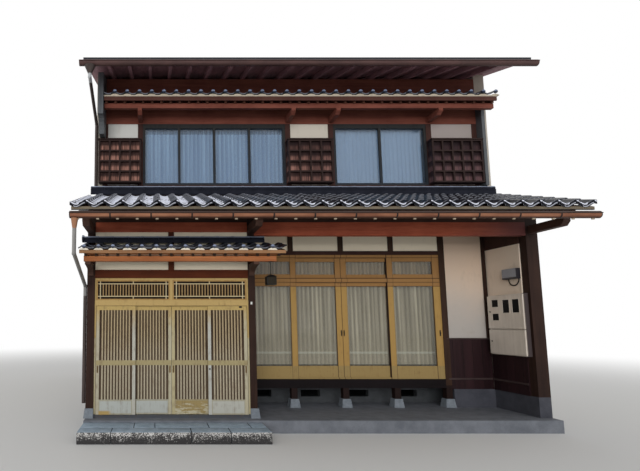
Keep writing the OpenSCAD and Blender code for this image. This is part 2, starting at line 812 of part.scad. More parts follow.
// Lantern on a rod under the end of the canopy purlin
module lantern() {
    y = street_face - canopy_purlin_y - canopy_purlin_w / 2;
    x = ent_post_x[1] + 170;
    top = rafters_under(canopy, street_face - canopy_purlin_y - canopy_purlin_w) - canopy_purlin_h;
    z = top - lantern_rod - lantern_h;
    color("#1d1c1b") {
        rod([x, y, z + lantern_h], [x, y, top], 6);
        translate([x, y, top - 8]) cylinder(h = 8, r = 30, $fn = round_n);
        translate([x, y, z + lantern_h - 30]) linear_extrude(34, scale = 0.35)
            square(lantern_w + 20, center = true);
        block([x - lantern_w / 2, x + lantern_w / 2], [y - lantern_w / 2, y + lantern_w / 2], [z, z + 14]);
        for (i = [-1, 1], j = [-1, 1])
            block([x + i * (lantern_w / 2 - 8) - 8, x + i * (lantern_w / 2 - 8) + 8],
                [y + j * (lantern_w / 2 - 8) - 8, y + j * (lantern_w / 2 - 8) + 8], [z, z + lantern_h - 20]);
        block([x - lantern_w / 2 + 12, x + lantern_w / 2 - 12],
            [y - lantern_w / 2 + 12, y + lantern_w / 2 - 12], [z + 1, z + lantern_h - 20]);
    }
}

// Sill track, jambs, header and transom bars of the entrance, each a bar of its own
module entrance_frame() {
    mid = 22;
    color("#c39a55") {
        block(door_x, frame_y, [porch_z, track_z]);
        for (x = [[door_x[0], door_clear_x[0]], [door_clear_x[1], door_x[1]]])
            block(x, frame_y, [track_z + seam, header_z - seam]);
        block(door_x, frame_y, [header_z, transom_z]);
        for (x = [[door_x[0], door_clear_x[0]], [x_mid - mid, x_mid + mid], [door_clear_x[1], door_x[1]]])
            block(x, [frame_y[0] + 10, frame_y[1]], [transom_z + seam, lintel_z - 30 - seam]);
        block(door_x, [frame_y[0] + 10, frame_y[1]], [lintel_z - 30, lintel_z]);
    }
}

// One transom panel: a frame, border bars that cross inside it, and fine bars between them
module transom_panel(x, z) {
    y = [frame_y[0] + 22, frame_y[0] + 40];
    w = 22;
    bar = transom_bar_w / 2;
    mid = (x[0] + x[1]) / 2;
    difference() {
        block(x, y, z);
        block([x[0] + w, x[1] - w], [y[0] - 1, y[1] + 1], [z[0] + w, z[1] - w]);
    }
    field = [x[0] + transom_border, x[1] - transom_border];
    for (i = [0:transom_bars + 1]) {
        bx = field[0] + (field[1] - field[0]) * i / (transom_bars + 1);
        edge = i == 0 || i == transom_bars + 1;
        block([bx - bar, bx + bar], edge ? [y[0] + 2, y[1] - 2] : [y[0] + 4, y[1] - 4],
            edge ? [z[0] + w - 1, z[1] - w + 1] : [z[0] + transom_border, z[1] - transom_border]);
    }
    for (bz = [z[0] + transom_border, z[1] - transom_border])
        block([x[0] + w - 1, x[1] - w + 1], [y[0] + 2, y[1] - 2], [bz - bar, bz + bar]);
    for (sz = [[z[0] + w - 1, z[0] + transom_border], [z[1] - transom_border, z[1] - w + 1]])
        block([mid - bar, mid + bar], [y[0] + 2, y[1] - 2], sz);
}

// Two lattice panels over the doors with a pane behind each
module entrance_transom() {
    z = [transom_z + seam, lintel_z - 30 - seam];
    color("#b98f4c")
    for (x = [[door_clear_x[0] + seam, x_mid - 22 - seam], [x_mid + 22 + seam, door_clear_x[1] - seam]]) {
        transom_panel(x, z);
        block(x, [frame_y[0] + 39, frame_y[0] + 39 + pane_t], z);
    }
}

// Dark lintel with the short post between the two plaster panels
module entrance_lintel() {
    color("#4a2c22") {
        block(door_x, [street_face + 5, street_rear - 5], [lintel_z, entrance_panel_z]);
        block([x_mid - 50, x_mid + 50], [street_face, street_rear - 10],
            [entrance_panel_z + seam, entrance_beam_z]);
    }
}

// Door leaf with slats over a pane, rollers, a bottom panel and a finger pull
module door_leaf(x, y, pull_side) {
    pane_y = y + slat_d + 4;
    field_x = [x + stile_w, x + leaf_w - stile_w];
    z = leaf_z;
    pull_x = pull_side < 0 ? x + stile_w / 2 : x + leaf_w - stile_w / 2;
    difference() {
        union() {
            for (sx = [[x, x + stile_w], [x + leaf_w - stile_w, x + leaf_w]])
                block(sx, [y, y + leaf_t], [z, z + leaf_h]);
            block([x + 1, x + leaf_w - 1], [y + 2, y + leaf_t - 2], [z, z + kick_h]);
            block([x + 1, x + leaf_w - 1], [y + 2, y + leaf_t - 2],
                [z + mid_rail_z, z + mid_rail_z + mid_rail_h]);
            block([x + 1, x + leaf_w - 1], [y + 2, y + leaf_t - 2], [z + leaf_h - top_rail_h, z + leaf_h]);
            block([x + stile_w - 1, x + leaf_w - stile_w + 1], [pane_y, pane_y + pane_t],
                [z + kick_h - 1, z + leaf_h - top_rail_h + 1]);
            for (i = [1:slat_count]) {
                sx = field_x[0] + (field_x[1] - field_x[0]) * i / (slat_count + 1);
                block([sx - slat_w / 2, sx + slat_w / 2], [y + 4, y + 4 + slat_d],
                    [z + kick_h - 1, z + leaf_h - top_rail_h + 1]);
            }
        }
        block([pull_x - pull_w / 2, pull_x + pull_w / 2], [y - 1, y + pull_d],
            [z + mid_rail_z - pull_h - 10, z + mid_rail_z - 10]);
    }
    for (rx = [x + 90, x + leaf_w - 90])
        translate([rx, y + leaf_t / 2 - 6, track_z + roller_gap + roller_r]) rotate([-90, 0, 0])
            cylinder(h = 12, r = roller_r, $fn = round_n);
}

module door_leaf_1() { color("#cdb27a") door_leaf(leaf_1_x, front_track_y, -1); }
module door_leaf_2() { color("#cdb27a") door_leaf(leaf_2_x, back_track_y, 1); }
module door_leaf_3() { color("#cdb27a") door_leaf(leaf_3_x, back_track_y, -1); }
module door_leaf_4() { color("#cdb27a") door_leaf(leaf_4_x, front_track_y, 1); }

// Posts of the window front, struts under its sill beam and short posts over its rail
module window_posts() {
    y = [front_face, front_rear];
    color("#3c2620") {
        block([x_ent - window_post_w / 2, x_ent + window_post_w / 2], y, [porch_z, girder_z]);
        block(win_post_x, y, [stone_z, girder_z]);
        for (k = [1:window_bays - 1]) {
            block([x_ent + bay * k - window_post_w / 2, x_ent + bay * k + window_post_w / 2],
                y, [stone_z, sill_beam_z]);
            block([x_ent + bay * k - 50, x_ent + bay * k + 50], [y[0] + 5, y[1] - 5],
                [window_panel_z, girder_z]);
        }
    }
}

// Sill beam, dark rail over the lights, and the girder that carries the upper wall
module window_beams() {
    y = [front_face, front_rear];
    color("#3a231f") {
        block(window_x, y, [sill_beam_z, window_track_z]);
        block(window_x, [y[0] + 4, y[1] - 4], [top_frame_z, window_panel_z]);
        block([left_in, right_in], y, [girder_z, upper_sill_z]);
        block([cladding_x - 10, right_in], [street_rear + 30, front_face - seam],
            [window_panel_z, girder_z - seam]);
    }
}

// Tracks, jambs and curtain rails of the window front, each a bar of its own
module window_frame() {
    y = [sash_front_y - 4, sash_back_y + sash_t + 4];
    color("#a67f42") {
        block(window_x, y, [window_track_z, sash_z]);
        for (x = [[window_x[0], window_x[0] + window_jamb], [window_x[1] - window_jamb, window_x[1]]]) {
            block(x, y, [sash_z + seam, mid_frame_z - seam]);
            block(x, y, [light_z + seam, light_top_z - seam]);
        }
        block(window_x, [sash_front_y - 6, front_rear], [mid_frame_z, light_z]);
        block(window_x, y, [light_top_z, top_frame_z]);
        for (r = [[rail_z, front_rear], [top_frame_z + 10, front_rear - 4 + seam]])
            block([window_x[0] + 40, window_x[1] - 40], [r[1], front_rear + rail_d], [r[0], r[0] + 30]);
    }
}

// Place of a sash: outer ones on the front track, inner ones on the back track
function sash_x(k) = k < window_bays / 2
    ? window_x[0] + window_jamb + k * (sash_w - sash_stile_w)
    : window_x[1] - window_jamb - sash_w - (window_bays - 1 - k) * (sash_w - sash_stile_w);
function sash_y(k) = (k == 0 || k == window_bays - 1) ? sash_front_y : sash_back_y;
function sash_open_x(k) = [sash_x(k) + sash_stile_w, sash_x(k) + sash_w - sash_stile_w];
sash_open_z = [sash_z + sash_kick_h, sash_z + sash_h - sash_rail_h];
light_open_z = [light_z + sash_rail_h, light_top_z - sash_rail_h];

// Four sliding windows and the four transom lights over them, one on the other's line
module window_sashes() {
    color("#a9864a") for (k = [0:window_bays - 1]) {
        sash(k, [sash_z, sash_z + sash_h], sash_open_z);
        sash(k, [light_z, light_top_z], light_open_z);
    }
}
module sash(k, z, open_z) {
    difference() {
        block([sash_x(k) + seam, sash_x(k) + sash_w - seam], [sash_y(k), sash_y(k) + sash_t],
            [z[0] + seam, z[1] - seam]);
        block(sash_open_x(k), [sash_y(k) - 1, sash_y(k) + sash_t + 1], open_z);
    }
}

// Panes of the ground storey
module ground_glass() {
    color("#b9c4c0", 0.4) {
        for (k = [0:window_bays - 1]) {
            y = sash_y(k) + (sash_t - glass_t) / 2;
            block(sash_open_x(k), [y, y + glass_t], sash_open_z);
            block(sash_open_x(k), [y, y + glass_t], light_open_z);
        }
        for (k = [1:2]) back_pane(back_open_x[k], back_ground_z[k]);
    }
}

// Plaster of the ground storey: over the doors, over the windows and round the recess
module ground_plaster() {
    panel_y = [street_face + 25, street_rear - 25];
    color("#e6ddcb") {
        for (x = [[door_x[0], x_mid - 50], [x_mid + 50, door_x[1]]])
            block(x, panel_y, [entrance_panel_z, entrance_beam_z]);
        for (k = [0:window_bays - 1])
            block([k == 0 ? window_x[0] : x_ent + bay * k + 50,
                k == window_bays - 1 ? window_x[1] : x_ent + bay * (k + 1) - 50],
                [front_face + 20, front_rear - 20], [window_panel_z, girder_z]);
        block([win_post_x[1], cladding_x - seam], [front_face + 20, front_rear - 20], [wainscot_z, girder_z]);
        block([cladding_x, right_in], [street_face + corner_post_d, front_face - seam],
            [wainscot_z, window_panel_z]);
        block(hall_wall_x, [street_rear, front_face], [wainscot_z, plate_z]);
    }
}

// Boarded dado of the recess
module recess_wainscot() {
    z = [plinth_z, wainscot_z];
    color("#2e1f1d") {
        block([win_post_x[1], cladding_x - seam], [front_face + 12, front_rear - 20], z);
        block([cladding_x, right_in], [street_face + corner_post_d, front_face - seam], z);
        block([hall_wall_x[0], hall_wall_x[1] + 8], [street_rear, front_face], z);
    }
}

// Cabinet of six sheet plates round two bays, its hinge pin, and the small box above it
module meter_cabinet() {
    z = [cabinet_z, cabinet_z + cabinet_h];
    split = cabinet_z + lower_cover_h;
    depth = [cabinet_x[0], cabinet_x[1] - sheet_t - seam];
    between = [cabinet_y[0] + sheet_t + seam, cabinet_y[1] - sheet_t - seam];
    color("#cfc8b6") {
        block([cabinet_x[1] - sheet_t, cabinet_x[1]], cabinet_y, z);
        for (y = [cabinet_y[0], cabinet_y[1] - sheet_t]) block(depth, [y, y + sheet_t], z);
        for (shelf = [z[0], split - sheet_t / 2, z[1] - sheet_t])
            block(depth, between, [shelf, shelf + sheet_t]);
        for (ear = [z[0], split - 5, z[1] - 10])
            block([hinge_x - knuckle_r, cabinet_x[0] - seam], [cabinet_y[0], cabinet_y[0] + 2 * knuckle_r],
                [ear, ear + 10]);
        rod([hinge_x, hinge_y, z[0] + 1], [hinge_x, hinge_y, z[1] - 1], pin_r);
        block([cladding_x - 80, cladding_x], [cabinet_y[0] + 120, cabinet_y[0] + 440],
            [z[1] + 260, z[1] + 440]);
    }
}

// Hinged cover, a pan with turned edges, carried by a knuckle on the cabinet's pin
module cover(z) {
    difference() {
        union() {
            block([cover_x, cover_x + cover_t], cover_y, z);
            translate([hinge_x, hinge_y, z[0]]) cylinder(h = z[1] - z[0], r = knuckle_r, $fn = round_n);
            block([cover_x, hinge_x], [hinge_y, cover_y[0] + 1], z);
        }
        block([cover_x + 4, cover_x + cover_t + 1], [cover_y[0] + 6, cover_y[1] - 6], [z[0] + 6, z[1] - 6]);
        translate([hinge_x, hinge_y, z[0] - 1])
            cylinder(h = z[1] - z[0] + 2, r = pin_r + pin_gap, $fn = round_n);
    }
}

split_z = cabinet_z + lower_cover_h;
upper_cover_z = [split_z + 5 + 5, cabinet_z + cabinet_h - 10 - 5];
lower_cover_z = [cabinet_z + 10 + 5, split_z - 5 - 5];

// Upper cover with two small and two tall windows
module upper_cover() {
    top = upper_cover_z[1];
    color("#d8d0bc") difference() {
        cover(upper_cover_z);
        for (w = [[110, 265, 200, 70], [110, 265, 440, 320], [370, 520, 310, 80], [590, 740, 310, 80]])
            block([cover_x - 1, cover_x + 5], [cover_y[1] - w[1], cover_y[1] - w[0]],
                [top - w[2], top - w[3]]);
    }
}

module lower_cover() { color("#d8d0bc") cover(lower_cover_z); }

// Left side wall of the ground storey, its head following the lower roof
module left_wall() {
    color("#b8ac98") along_x([left_out, left_in], [[street_rear, plinth_z], [back_face, plinth_z],
        [back_face, side_joint_z], [front_face, side_joint_z],
        [street_rear, boards_under(lower, street_rear)]]);
}

// Right side wall of the ground storey
module right_wall() {
    y = street_face + corner_post_d;
    color("#b8ac98") along_x([right_in, right_out], [[y, plinth_z], [back_face, plinth_z],
        [back_face, side_joint_z], [front_face, side_joint_z], [y, boards_under(lower, y)]]);
}

// Underside of the main roof's boards on either side of the ridge
function main_under(y) = boards_under(main, y <= ridge_y ? y : 2 * ridge_y - y);

// Gable walls of the upper storey
module gable_walls() {
    color("#a89d8c") for (x = [[left_out, left_in], [right_in, right_out]])
        along_x(x, [[front_face, side_joint_z], [back_face, side_joint_z], [back_face, main_under(back_face)],
            [ridge_y, main_under(ridge_y)], [front_face, main_under(front_face)]]);
}

back_top_z = rafters_under(main, front_face);
back_pier_x = [[left_in, back_open_x[0][0]], [back_open_x[0][1], back_open_x[1][0]],
    [back_open_x[1][1], back_open_x[2][0]], [back_open_x[2][1], right_in]];

// Full-height piers of the back wall
module back_piers() {
    color("#b3a793") for (x = back_pier_x) block(x, [back_rear, back_face], [plinth_z, back_top_z]);
}

// Wall panels under, between and over the back openings
module back_panels() {
    color("#aea28e") for (k = [0:2]) {
        x = back_open_x[k];
        if (k > 0) block(x, [back_rear, back_face], [plinth_z, back_ground_z[k][0]]);
        block(x, [back_rear, back_face], [back_ground_z[k][1], back_upper_z[0]]);
        block(x, [back_rear, back_face], [back_upper_z[1], back_top_z]);
    }
}

// Window frame of the back wall with a middle post
module back_frame(x, z, posts) {
    w = 45;
    y = [back_rear + 20, back_face - 10];
    difference() {
        block(x, y, z);
        for (k = [0:posts])
            block([x[0] + w / 2 + (x[1] - x[0] - w) * k / (posts + 1) + w / 2,
                x[0] + w / 2 + (x[1] - x[0] - w) * (k + 1) / (posts + 1) - w / 2],
                [y[0] - 1, y[1] + 1], [z[0] + w, z[1] - w]);
        block([x[0] + w, x[1] - w], [y[0] - 1, y[0] + 40], [z[0] + w, z[1] - w]);
    }
}
module back_pane(x, z) {
    block([x[0] + 45, x[1] - 45], [back_rear + 60 - glass_t, back_rear + 60], [z[0] + 45, z[1] - 45]);
}

// Windows and the boarded door of the back wall
module back_windows() {
    color("#6e6a64") {
        for (k = [1:2]) back_frame(back_open_x[k], back_ground_z[k], 1);
        for (k = [0:2]) back_frame(back_open_x[k], back_upper_z, k == 1 ? 3 : 1);
        block(back_open_x[0], [back_rear + 30, back_face - 30], back_ground_z[0]);
    }
}

// Raised floor behind the window front
module ground_floor() {
    color("#8a6a45")
        block([hall_wall_x[0], right_in], [front_rear, back_rear], [raised_z - deck_t, raised_z]);
}

// Floor of the upper storey
module upper_floor() {
    color("#8a6a45") block([left_in, right_in], [front_rear, back_rear], [plate_z - 50, plate_z + 70]);
}

// Posts between the upper windows and panels
module upper_posts() {
    color("#33211d") for (x = upper_x)
        block([x - upper_post_w / 2, x + upper_post_w / 2], [front_face, front_rear],
            [upper_sill_z, upper_top_z]);
}

// Head beam and frieze of the upper wall, its top under the main rafters
module upper_head_beam() {
    color("#36221d") under_rafters(main, [left_in, right_in], [front_face, front_rear], upper_top_z);
}

upper_panels_x = [[upper_x[0], upper_x[1]], [upper_x[2], upper_x[3]], [upper_x[4], upper_x[5]]];

// Plastered panels behind and over the shutter boxes
module upper_panels() {
    color("#e4dccb") for (x = upper_panels_x)
        block([x[0] + upper_post_w / 2, x[1] - upper_post_w / 2], [front_face + 15, front_rear - 15],
            [upper_sill_z, upper_top_z]);
}

// Upper window: a deep frame with sash bars in its front half
module upper_window(x, panes) {
    y = [upper_face, upper_face + upper_frame_t];
    w = upper_frame_w;
    z = [upper_sill_z, upper_sill_z + upper_window_h];
    difference() {
        block(x, y, z);
        for (k = [0:panes - 1])
            block([x[0] + w / 2 + (x[1] - x[0] - w) * k / panes + w / 2,
                x[0] + w / 2 + (x[1] - x[0] - w) * (k + 1) / panes - w / 2],
                [y[0] - 1, y[1] + 1], [z[0] + w, z[1] - w]);
        block([x[0] + w, x[1] - w], [y[0] + 40, y[1] + 1], [z[0] + w, z[1] - w]);
    }
    block(x, [front_face + 5, front_rear - 5], [z[1], z[1] + upper_rail_h]);
    block([x[0] + 20, x[1] - 20], [front_rear - 6, front_rear + rail_d], [z[1], z[1] + 30]);
}

module upper_windows() {
    color("#6d6459") for (k = [0:1]) upper_window(upper_windows_x[k], upper_panes[k]);
}

// One sheet of glass behind the bars of each upper window
module upper_glass() {
    w = upper_frame_w;
    color("#a9bccb", 0.4) {
        for (x = upper_windows_x)
            block([x[0] + w, x[1] - w], [upper_face + 40, upper_face + 40 + glass_t],
                [upper_sill_z + w, upper_sill_z + upper_window_h - w]);
        for (x = back_open_x) back_pane(x, back_upper_z);
    }
}

// Shutter box: boarded case with a lattice front and an overhanging lid
module shutter_box(x, columns, rows) {
    y = [front_face - box_d, front_face];
    z = [box_z, box_z + box_h];
    w = box_bar_w;
    difference() {
        block(x, y, z);
        for (i = [0:columns - 1], j = [0:rows - 1])
            block([x[0] + w + (x[1] - x[0] - w) * i / columns, x[0] + (x[1] - x[0] - w) * (i + 1) / columns],
                [y[0] - 1, y[0] + box_cell_d],
                [z[0] + w + (z[1] - z[0] - w) * j / rows, z[0] + (z[1] - z[0] - w) * (j + 1) / rows]);
    }
    block([x[0] - 12, x[1] + 12], [y[0] - 15, y[1]], [z[1] - 1, z[1] + 24]);
}

// Shutter boxes beside the upper windows
module shutter_boxes() {
    edge = upper_post_w / 2 - 5;
    color("#3d2622") {
        shutter_box([left_out + 60, upper_x[1] + 15], 4, 4);
        shutter_box([upper_x[2] - edge, upper_x[3] - edge + 15], 4, 4);
        shutter_box([upper_x[4] - edge, right_in - 25], 5, 4);
    }
}

// Bracket arms and purlin of the pent roof
module pent_frame() {
    y = [pent[0] + pent_purlin_back, pent[0] + pent_purlin_back + pent_purlin_w];
    z = rafters_under(pent, y[0]) - pent_purlin_h;
    low = z - pent_arm_h;
    tip = y[0] - 20;
    color("#5a2f22") {
        for (x = [for (i = [1:4]) upper_x[i]])
            along_x([x - pent_arm_w / 2, x + pent_arm_w / 2], [[front_face, low], [front_face, z - seam],
                [tip, z - seam], [tip, (z + low) / 2], [tip + pent_purlin_w, low]]);
        under_rafters(pent, pent_x, y, z);
    }
}

module pent_soffit() {
    color("#6a3c28")
        roof_boards(pent, pent_x, [pent[0], front_face], pent_x, small_rafter_pitch, small_rafter_w,
            pent_fascia_h);
}

module pent_roof() {
    color("#22262f") roof_layer(pent, pent_x, [pent[0], front_face], 0, pent_tile_t);
}

// Left wing wall, wider towards its head, and the upright board under the pent roof's right end
module wing_walls() {
    foot = box_z + box_h + 40;
    head = front_face - pent_over - 40;
    board_y = front_face - wing_board_reach;
    board_foot = roof_top(lower, front_face) + ridge_h + seam;
    color("#4b4e54") {
        along_x(wing_left_x, [[front_face, foot], [front_face - wing_reach, foot],
            for (a = [0:15:90]) [front_face - wing_reach - (pent_over + 40 - wing_reach) * (1 - cos(a)),
                foot + 300 * sin(a)],
            [head, rafters_under(main, head)], [front_face, rafters_under(main, front_face)]]);
        along_x(wing_right_x, [[front_face, board_foot], [board_y, board_foot],
            [board_y, rafters_under(pent, board_y) - seam],
            [front_face, rafters_under(pent, front_face) - seam]]);
    }
}

// Boards and rafters of the main roof, front and back slope
module main_soffit() {
    color("#3b241f") for (back = [0:1])
        translate([0, back * 2 * ridge_y, 0]) mirror([0, back, 0])
            roof_boards(main, [main_x[0] + 20, main_x[1] - 20], [main[0], ridge_y - seam],
                [left_in, right_in], main_rafter_pitch, main_rafter_w);
}

// Sheet roof in two slopes with its ridge cap
module main_roof() {
    top = roof_top(main, ridge_y) + seam;
    foot = roof_top(main, ridge_y - cap_w / 2) + seam;
    color("#3a3d42") {
        for (back = [0:1]) translate([0, back * 2 * ridge_y, 0]) mirror([0, back, 0])
            roof_layer(main, main_x, [main[0], ridge_y - seam], 0, sheet_roof_t);
        along_x([main_x[0] - 5, main_x[1] + 5], [[ridge_y - cap_w / 2, foot],
            [ridge_y - cap_w / 3, top + cap_h], [ridge_y + cap_w / 3, top + cap_h],
            [ridge_y + cap_w / 2, foot], [ridge_y, top]]);
    }
}

// Gutters of the main roof
module main_gutters() {
    x = [main_x[0] - 60, main_x[1] + 60];
    color("#4a3a32") for (back = [0:1]) translate([0, back * 2 * ridge_y, 0]) mirror([0, back, 0])
        gutter(main, x, main_rim);
}

// Curtains behind the windows of the ground storey
module lower_curtains() {
    y = [front_rear + rail_d - curtain_t, front_rear + rail_d];
    w = (window_x[1] - window_x[0] - 80) / window_bays;
    color("#d8d4c6") for (k = [0:window_bays - 1]) {
        x = [window_x[0] + 48 + k * w, window_x[0] + 32 + (k + 1) * w];
        block(x, y, [sash_z + 60, rail_z - seam]);
        block(x, y, [light_z + 10, top_frame_z + 10 - seam]);
    }
}

// Curtains behind the upper windows, under their rails
module upper_curtains() {
    y = [front_rear + rail_d - curtain_t, front_rear + rail_d];
    color("#dfe6ee") for (x = upper_windows_x)
        block([x[0] + 30, x[1] - 30], y, [upper_sill_z + 30, upper_sill_z + upper_window_h - seam]);
}

foundation_slab();
entrance_step();
plinth_walls();
vent_wall();
pedestal_stones();
street_posts();
front_beams();
eave_arms();
lower_soffit();
lower_roof();
ridge_courses();
lower_gutter();
gutter_brackets();
downspouts();
canopy_frame();
canopy_soffit();
canopy_roof();
lantern();
entrance_frame();
entrance_transom();
entrance_lintel();
door_leaf_1();
door_leaf_2();
door_leaf_3();
door_leaf_4();
window_posts();
window_beams();
window_frame();
window_sashes();
ground_glass();
ground_plaster();
recess_wainscot();
meter_cabinet();
upper_cover();
lower_cover();
left_wall();
right_wall();
gable_walls();
back_piers();
back_panels();
back_windows();
ground_floor();
upper_floor();
upper_posts();
upper_head_beam();
upper_panels();
upper_windows();
upper_glass();
shutter_boxes();
pent_frame();
pent_soffit();
pent_roof();
wing_walls();
main_soffit();
main_roof();
main_gutters();
lower_curtains();
upper_curtains();
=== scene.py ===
# %% [markdown]
# # A machiya townhouse, dressed in Blender
# The construction model gives this house its walls, posts, beams, doors and roofs, all at their
# real places in metres. What it leaves plain is dressed here: tiles one by one, ridge courses,
# curtains, door furniture, and a finish for every surface. The frame itself never moves, so each
# new piece is made where the construction says it belongs.

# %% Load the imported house
import math
import random

import bmesh
import bpy
from mathutils import Matrix, Vector


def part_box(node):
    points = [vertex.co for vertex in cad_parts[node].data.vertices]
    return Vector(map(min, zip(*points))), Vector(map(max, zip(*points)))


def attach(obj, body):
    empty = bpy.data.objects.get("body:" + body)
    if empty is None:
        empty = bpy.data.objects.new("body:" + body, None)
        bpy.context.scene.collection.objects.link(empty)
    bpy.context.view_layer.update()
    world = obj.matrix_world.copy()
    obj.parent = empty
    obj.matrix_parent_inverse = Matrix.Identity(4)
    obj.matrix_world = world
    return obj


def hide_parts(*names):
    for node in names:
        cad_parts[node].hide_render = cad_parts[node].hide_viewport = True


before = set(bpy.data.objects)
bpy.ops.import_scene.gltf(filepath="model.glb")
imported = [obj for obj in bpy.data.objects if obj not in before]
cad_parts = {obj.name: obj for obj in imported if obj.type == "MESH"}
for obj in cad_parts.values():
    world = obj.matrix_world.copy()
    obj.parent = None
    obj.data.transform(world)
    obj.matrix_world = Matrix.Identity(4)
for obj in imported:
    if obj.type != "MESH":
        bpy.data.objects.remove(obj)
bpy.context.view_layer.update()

# %% [markdown]
# ## The camera
# The photograph was taken about eight metres in front of the house, a little left of its middle,
# with the camera tipped up by about six degrees. A pinhole fitted to the straight edges of posts
# and beams gave the place, the tilt and the shift used below, so the render can be laid over it.

# %% Camera
TILT = math.radians(90 + 5.77)
bpy.ops.object.select_all(action="DESELECT")
bpy.ops.object.camera_add(location=(-2.6615, -12.067, 1.73), rotation=(TILT, 0, 0))
camera = bpy.context.object
camera.data.lens = 25.875
camera.data.shift_x, camera.data.shift_y = 0.2578, 0.0656
camera.data.clip_end = 300
bpy.context.scene.camera = camera
print("camera at", tuple(round(v, 3) for v in camera.location))

# %% [markdown]
# ## Working by hand, in code
# Blender's edit-mode tools work on whatever is selected. So each helper first clears the
# selection, then picks faces by where they are or which way they look, as a hand would with the
# mouse. A profile is drawn from one corner point by extruding it from place to place, filled, and
# pulled out to its length, which suits tiles, gutter beads and mouldings alike.

# %% Selection helpers
def deselect():
    if bpy.context.object and bpy.context.object.mode != "OBJECT":
        bpy.ops.object.mode_set(mode="OBJECT")
    bpy.ops.object.select_all(action="DESELECT")


def take(*pieces):
    deselect()
    for piece in pieces:
        piece.select_set(True)
    bpy.context.view_layer.objects.active = pieces[0]


def edit():
    bpy.ops.object.mode_set(mode="EDIT")


def done():
    bpy.ops.object.mode_set(mode="OBJECT")


def everything():
    bpy.ops.mesh.select_all(action="SELECT")


def pull(way):
    """Extrudes the selection by a vector."""
    bpy.ops.mesh.extrude_region_move(TRANSFORM_OT_translate={"value": Vector(way)})


def sink(rim, way):
    """Insets the picked face by rim and extrudes what is left of it by a vector."""
    bpy.ops.mesh.inset(thickness=rim, depth=0)
    pull(way)


def pick(test, kind="FACE"):
    """Selects the faces or edges whose middle and direction (a face's normal) pass a test."""
    bpy.context.tool_settings.mesh_select_mode = (False, kind == "EDGE", kind == "FACE")
    mesh = bmesh.from_edit_mesh(bpy.context.object.data)
    for part in (*mesh.verts, *mesh.edges, *mesh.faces):
        part.select_set(False)
    if kind == "FACE":
        for face in mesh.faces:
            face.select_set(test(face.calc_center_median(), face.normal))
    else:
        for edge in mesh.edges:
            a, b = (vert.co for vert in edge.verts)
            edge.select_set(test((a + b) / 2, (b - a).normalized()))
    mesh.select_flush_mode()
    bmesh.update_edit_mesh(bpy.context.object.data)


def settle(piece):
    """Puts the object at the origin, unturned and unscaled, with its place in its mesh."""
    take(piece)
    bpy.ops.object.transform_apply(location=True, rotation=True, scale=True)
    return piece


def join(name, pieces):
    take(*pieces)
    if len(pieces) > 1:
        bpy.ops.object.join()
    joined = bpy.context.object
    joined.name = name
    return joined


# %% [markdown]
# Three shapes carry most of the work: bars with softened edges, short drums, and drawn profiles.
# A row of equal pieces is one piece with an array modifier that is applied, so every copy has its
# own mesh.

# %% Bars, drums, drawn profiles and rows
FACING_FRONT = (math.radians(90), 0, 0)
FACING_SIDE = (0, math.radians(90), 0)


def bars(name, boxes, bevel=0.003, segments=1):
    """Bars between opposite corners, their edges bevelled, as one piece."""
    deselect()
    for i, (low, high) in enumerate(boxes):
        size = [high[k] - low[k] for k in range(3)]
        middle = [(high[k] + low[k]) / 2 for k in range(3)]
        bpy.ops.mesh.primitive_cube_add(size=1, location=middle, scale=size)
        if i == 0:
            piece = bpy.context.object
            piece.name = name
            bpy.ops.object.transform_apply(location=True, rotation=True, scale=True)
            edit()
    everything()
    if bevel:
        bpy.ops.mesh.bevel(offset=bevel, segments=segments, affect="EDGES")
    done()
    return settle(piece)


def drum(name, spot, radius, depth, turn, corners):
    """A short cylinder about spot."""
    deselect()
    bpy.ops.mesh.primitive_cylinder_add(vertices=corners, radius=radius, depth=depth,
                                        location=spot, rotation=turn)
    piece = bpy.context.object
    piece.name = name
    bpy.ops.object.transform_apply(location=True, rotation=True)
    return piece


def drawn(name, points, run):
    """A profile drawn from point to point, filled, and pulled out along run."""
    deselect()
    bpy.ops.mesh.primitive_plane_add(size=0.01, location=points[0])
    piece = bpy.context.object
    piece.name = name
    bpy.ops.object.transform_apply(location=True)
    edit()
    bpy.context.tool_settings.mesh_select_mode = (True, False, False)
    everything()
    bpy.ops.mesh.merge(type="CENTER")
    for a, b in zip(points, points[1:]):
        pull(Vector(b) - Vector(a))
    everything()
    bpy.ops.mesh.edge_face_add()
    pull(run)
    everything()
    bpy.ops.mesh.remove_doubles(threshold=0.00001)
    bpy.ops.mesh.normals_make_consistent(inside=False)
    done()
    return piece


def row(piece, count, step):
    """Repeats a piece by an array that is applied at once."""
    if count > 1:
        take(piece)
        array = piece.modifiers.new("row", "ARRAY")
        array.count = count
        array.use_relative_offset = False
        array.use_constant_offset = True
        array.constant_offset_displace = step
        bpy.ops.object.modifier_apply(modifier=array.name)
    return piece


def dished(name, low, high, rim, push, way):
    """A block with one face inset by rim and pushed by the vector push; way is that face's normal."""
    piece = bars(name, [(low, high)], 0)
    edit()
    pick(lambda middle, normal: normal.dot(Vector(way)) > 0.9)
    sink(rim, push)
    done()
    return piece


def smooth(piece, angle=40):
    take(piece)
    bpy.ops.object.shade_smooth_by_angle(angle=math.radians(angle))
    return piece


def keep(piece, finish, body="house", stands_for=()):
    """Gives a piece its finish and its body, and hides the construction pieces it stands for."""
    settle(piece)
    piece.data.materials.clear()
    piece.data.materials.append(finish)
    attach(piece, body)
    if stands_for:
        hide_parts(*stands_for)
    print(f"{piece.name}: {len(piece.data.polygons)} faces")
    return piece


# %% [markdown]
# ## Writing a finish as a sum
# A material is a chain of small sums on the point being shaded. Tone wraps one socket so that
# Python's own signs add the maths nodes, and Finish adds every other node by its type. Patterns
# read the object's own coordinates in metres: a grain that is 4 mm wide on a post is 4 mm wide on
# a rail. A look is a ground colour with layers over it, each a tone and the share it covers.

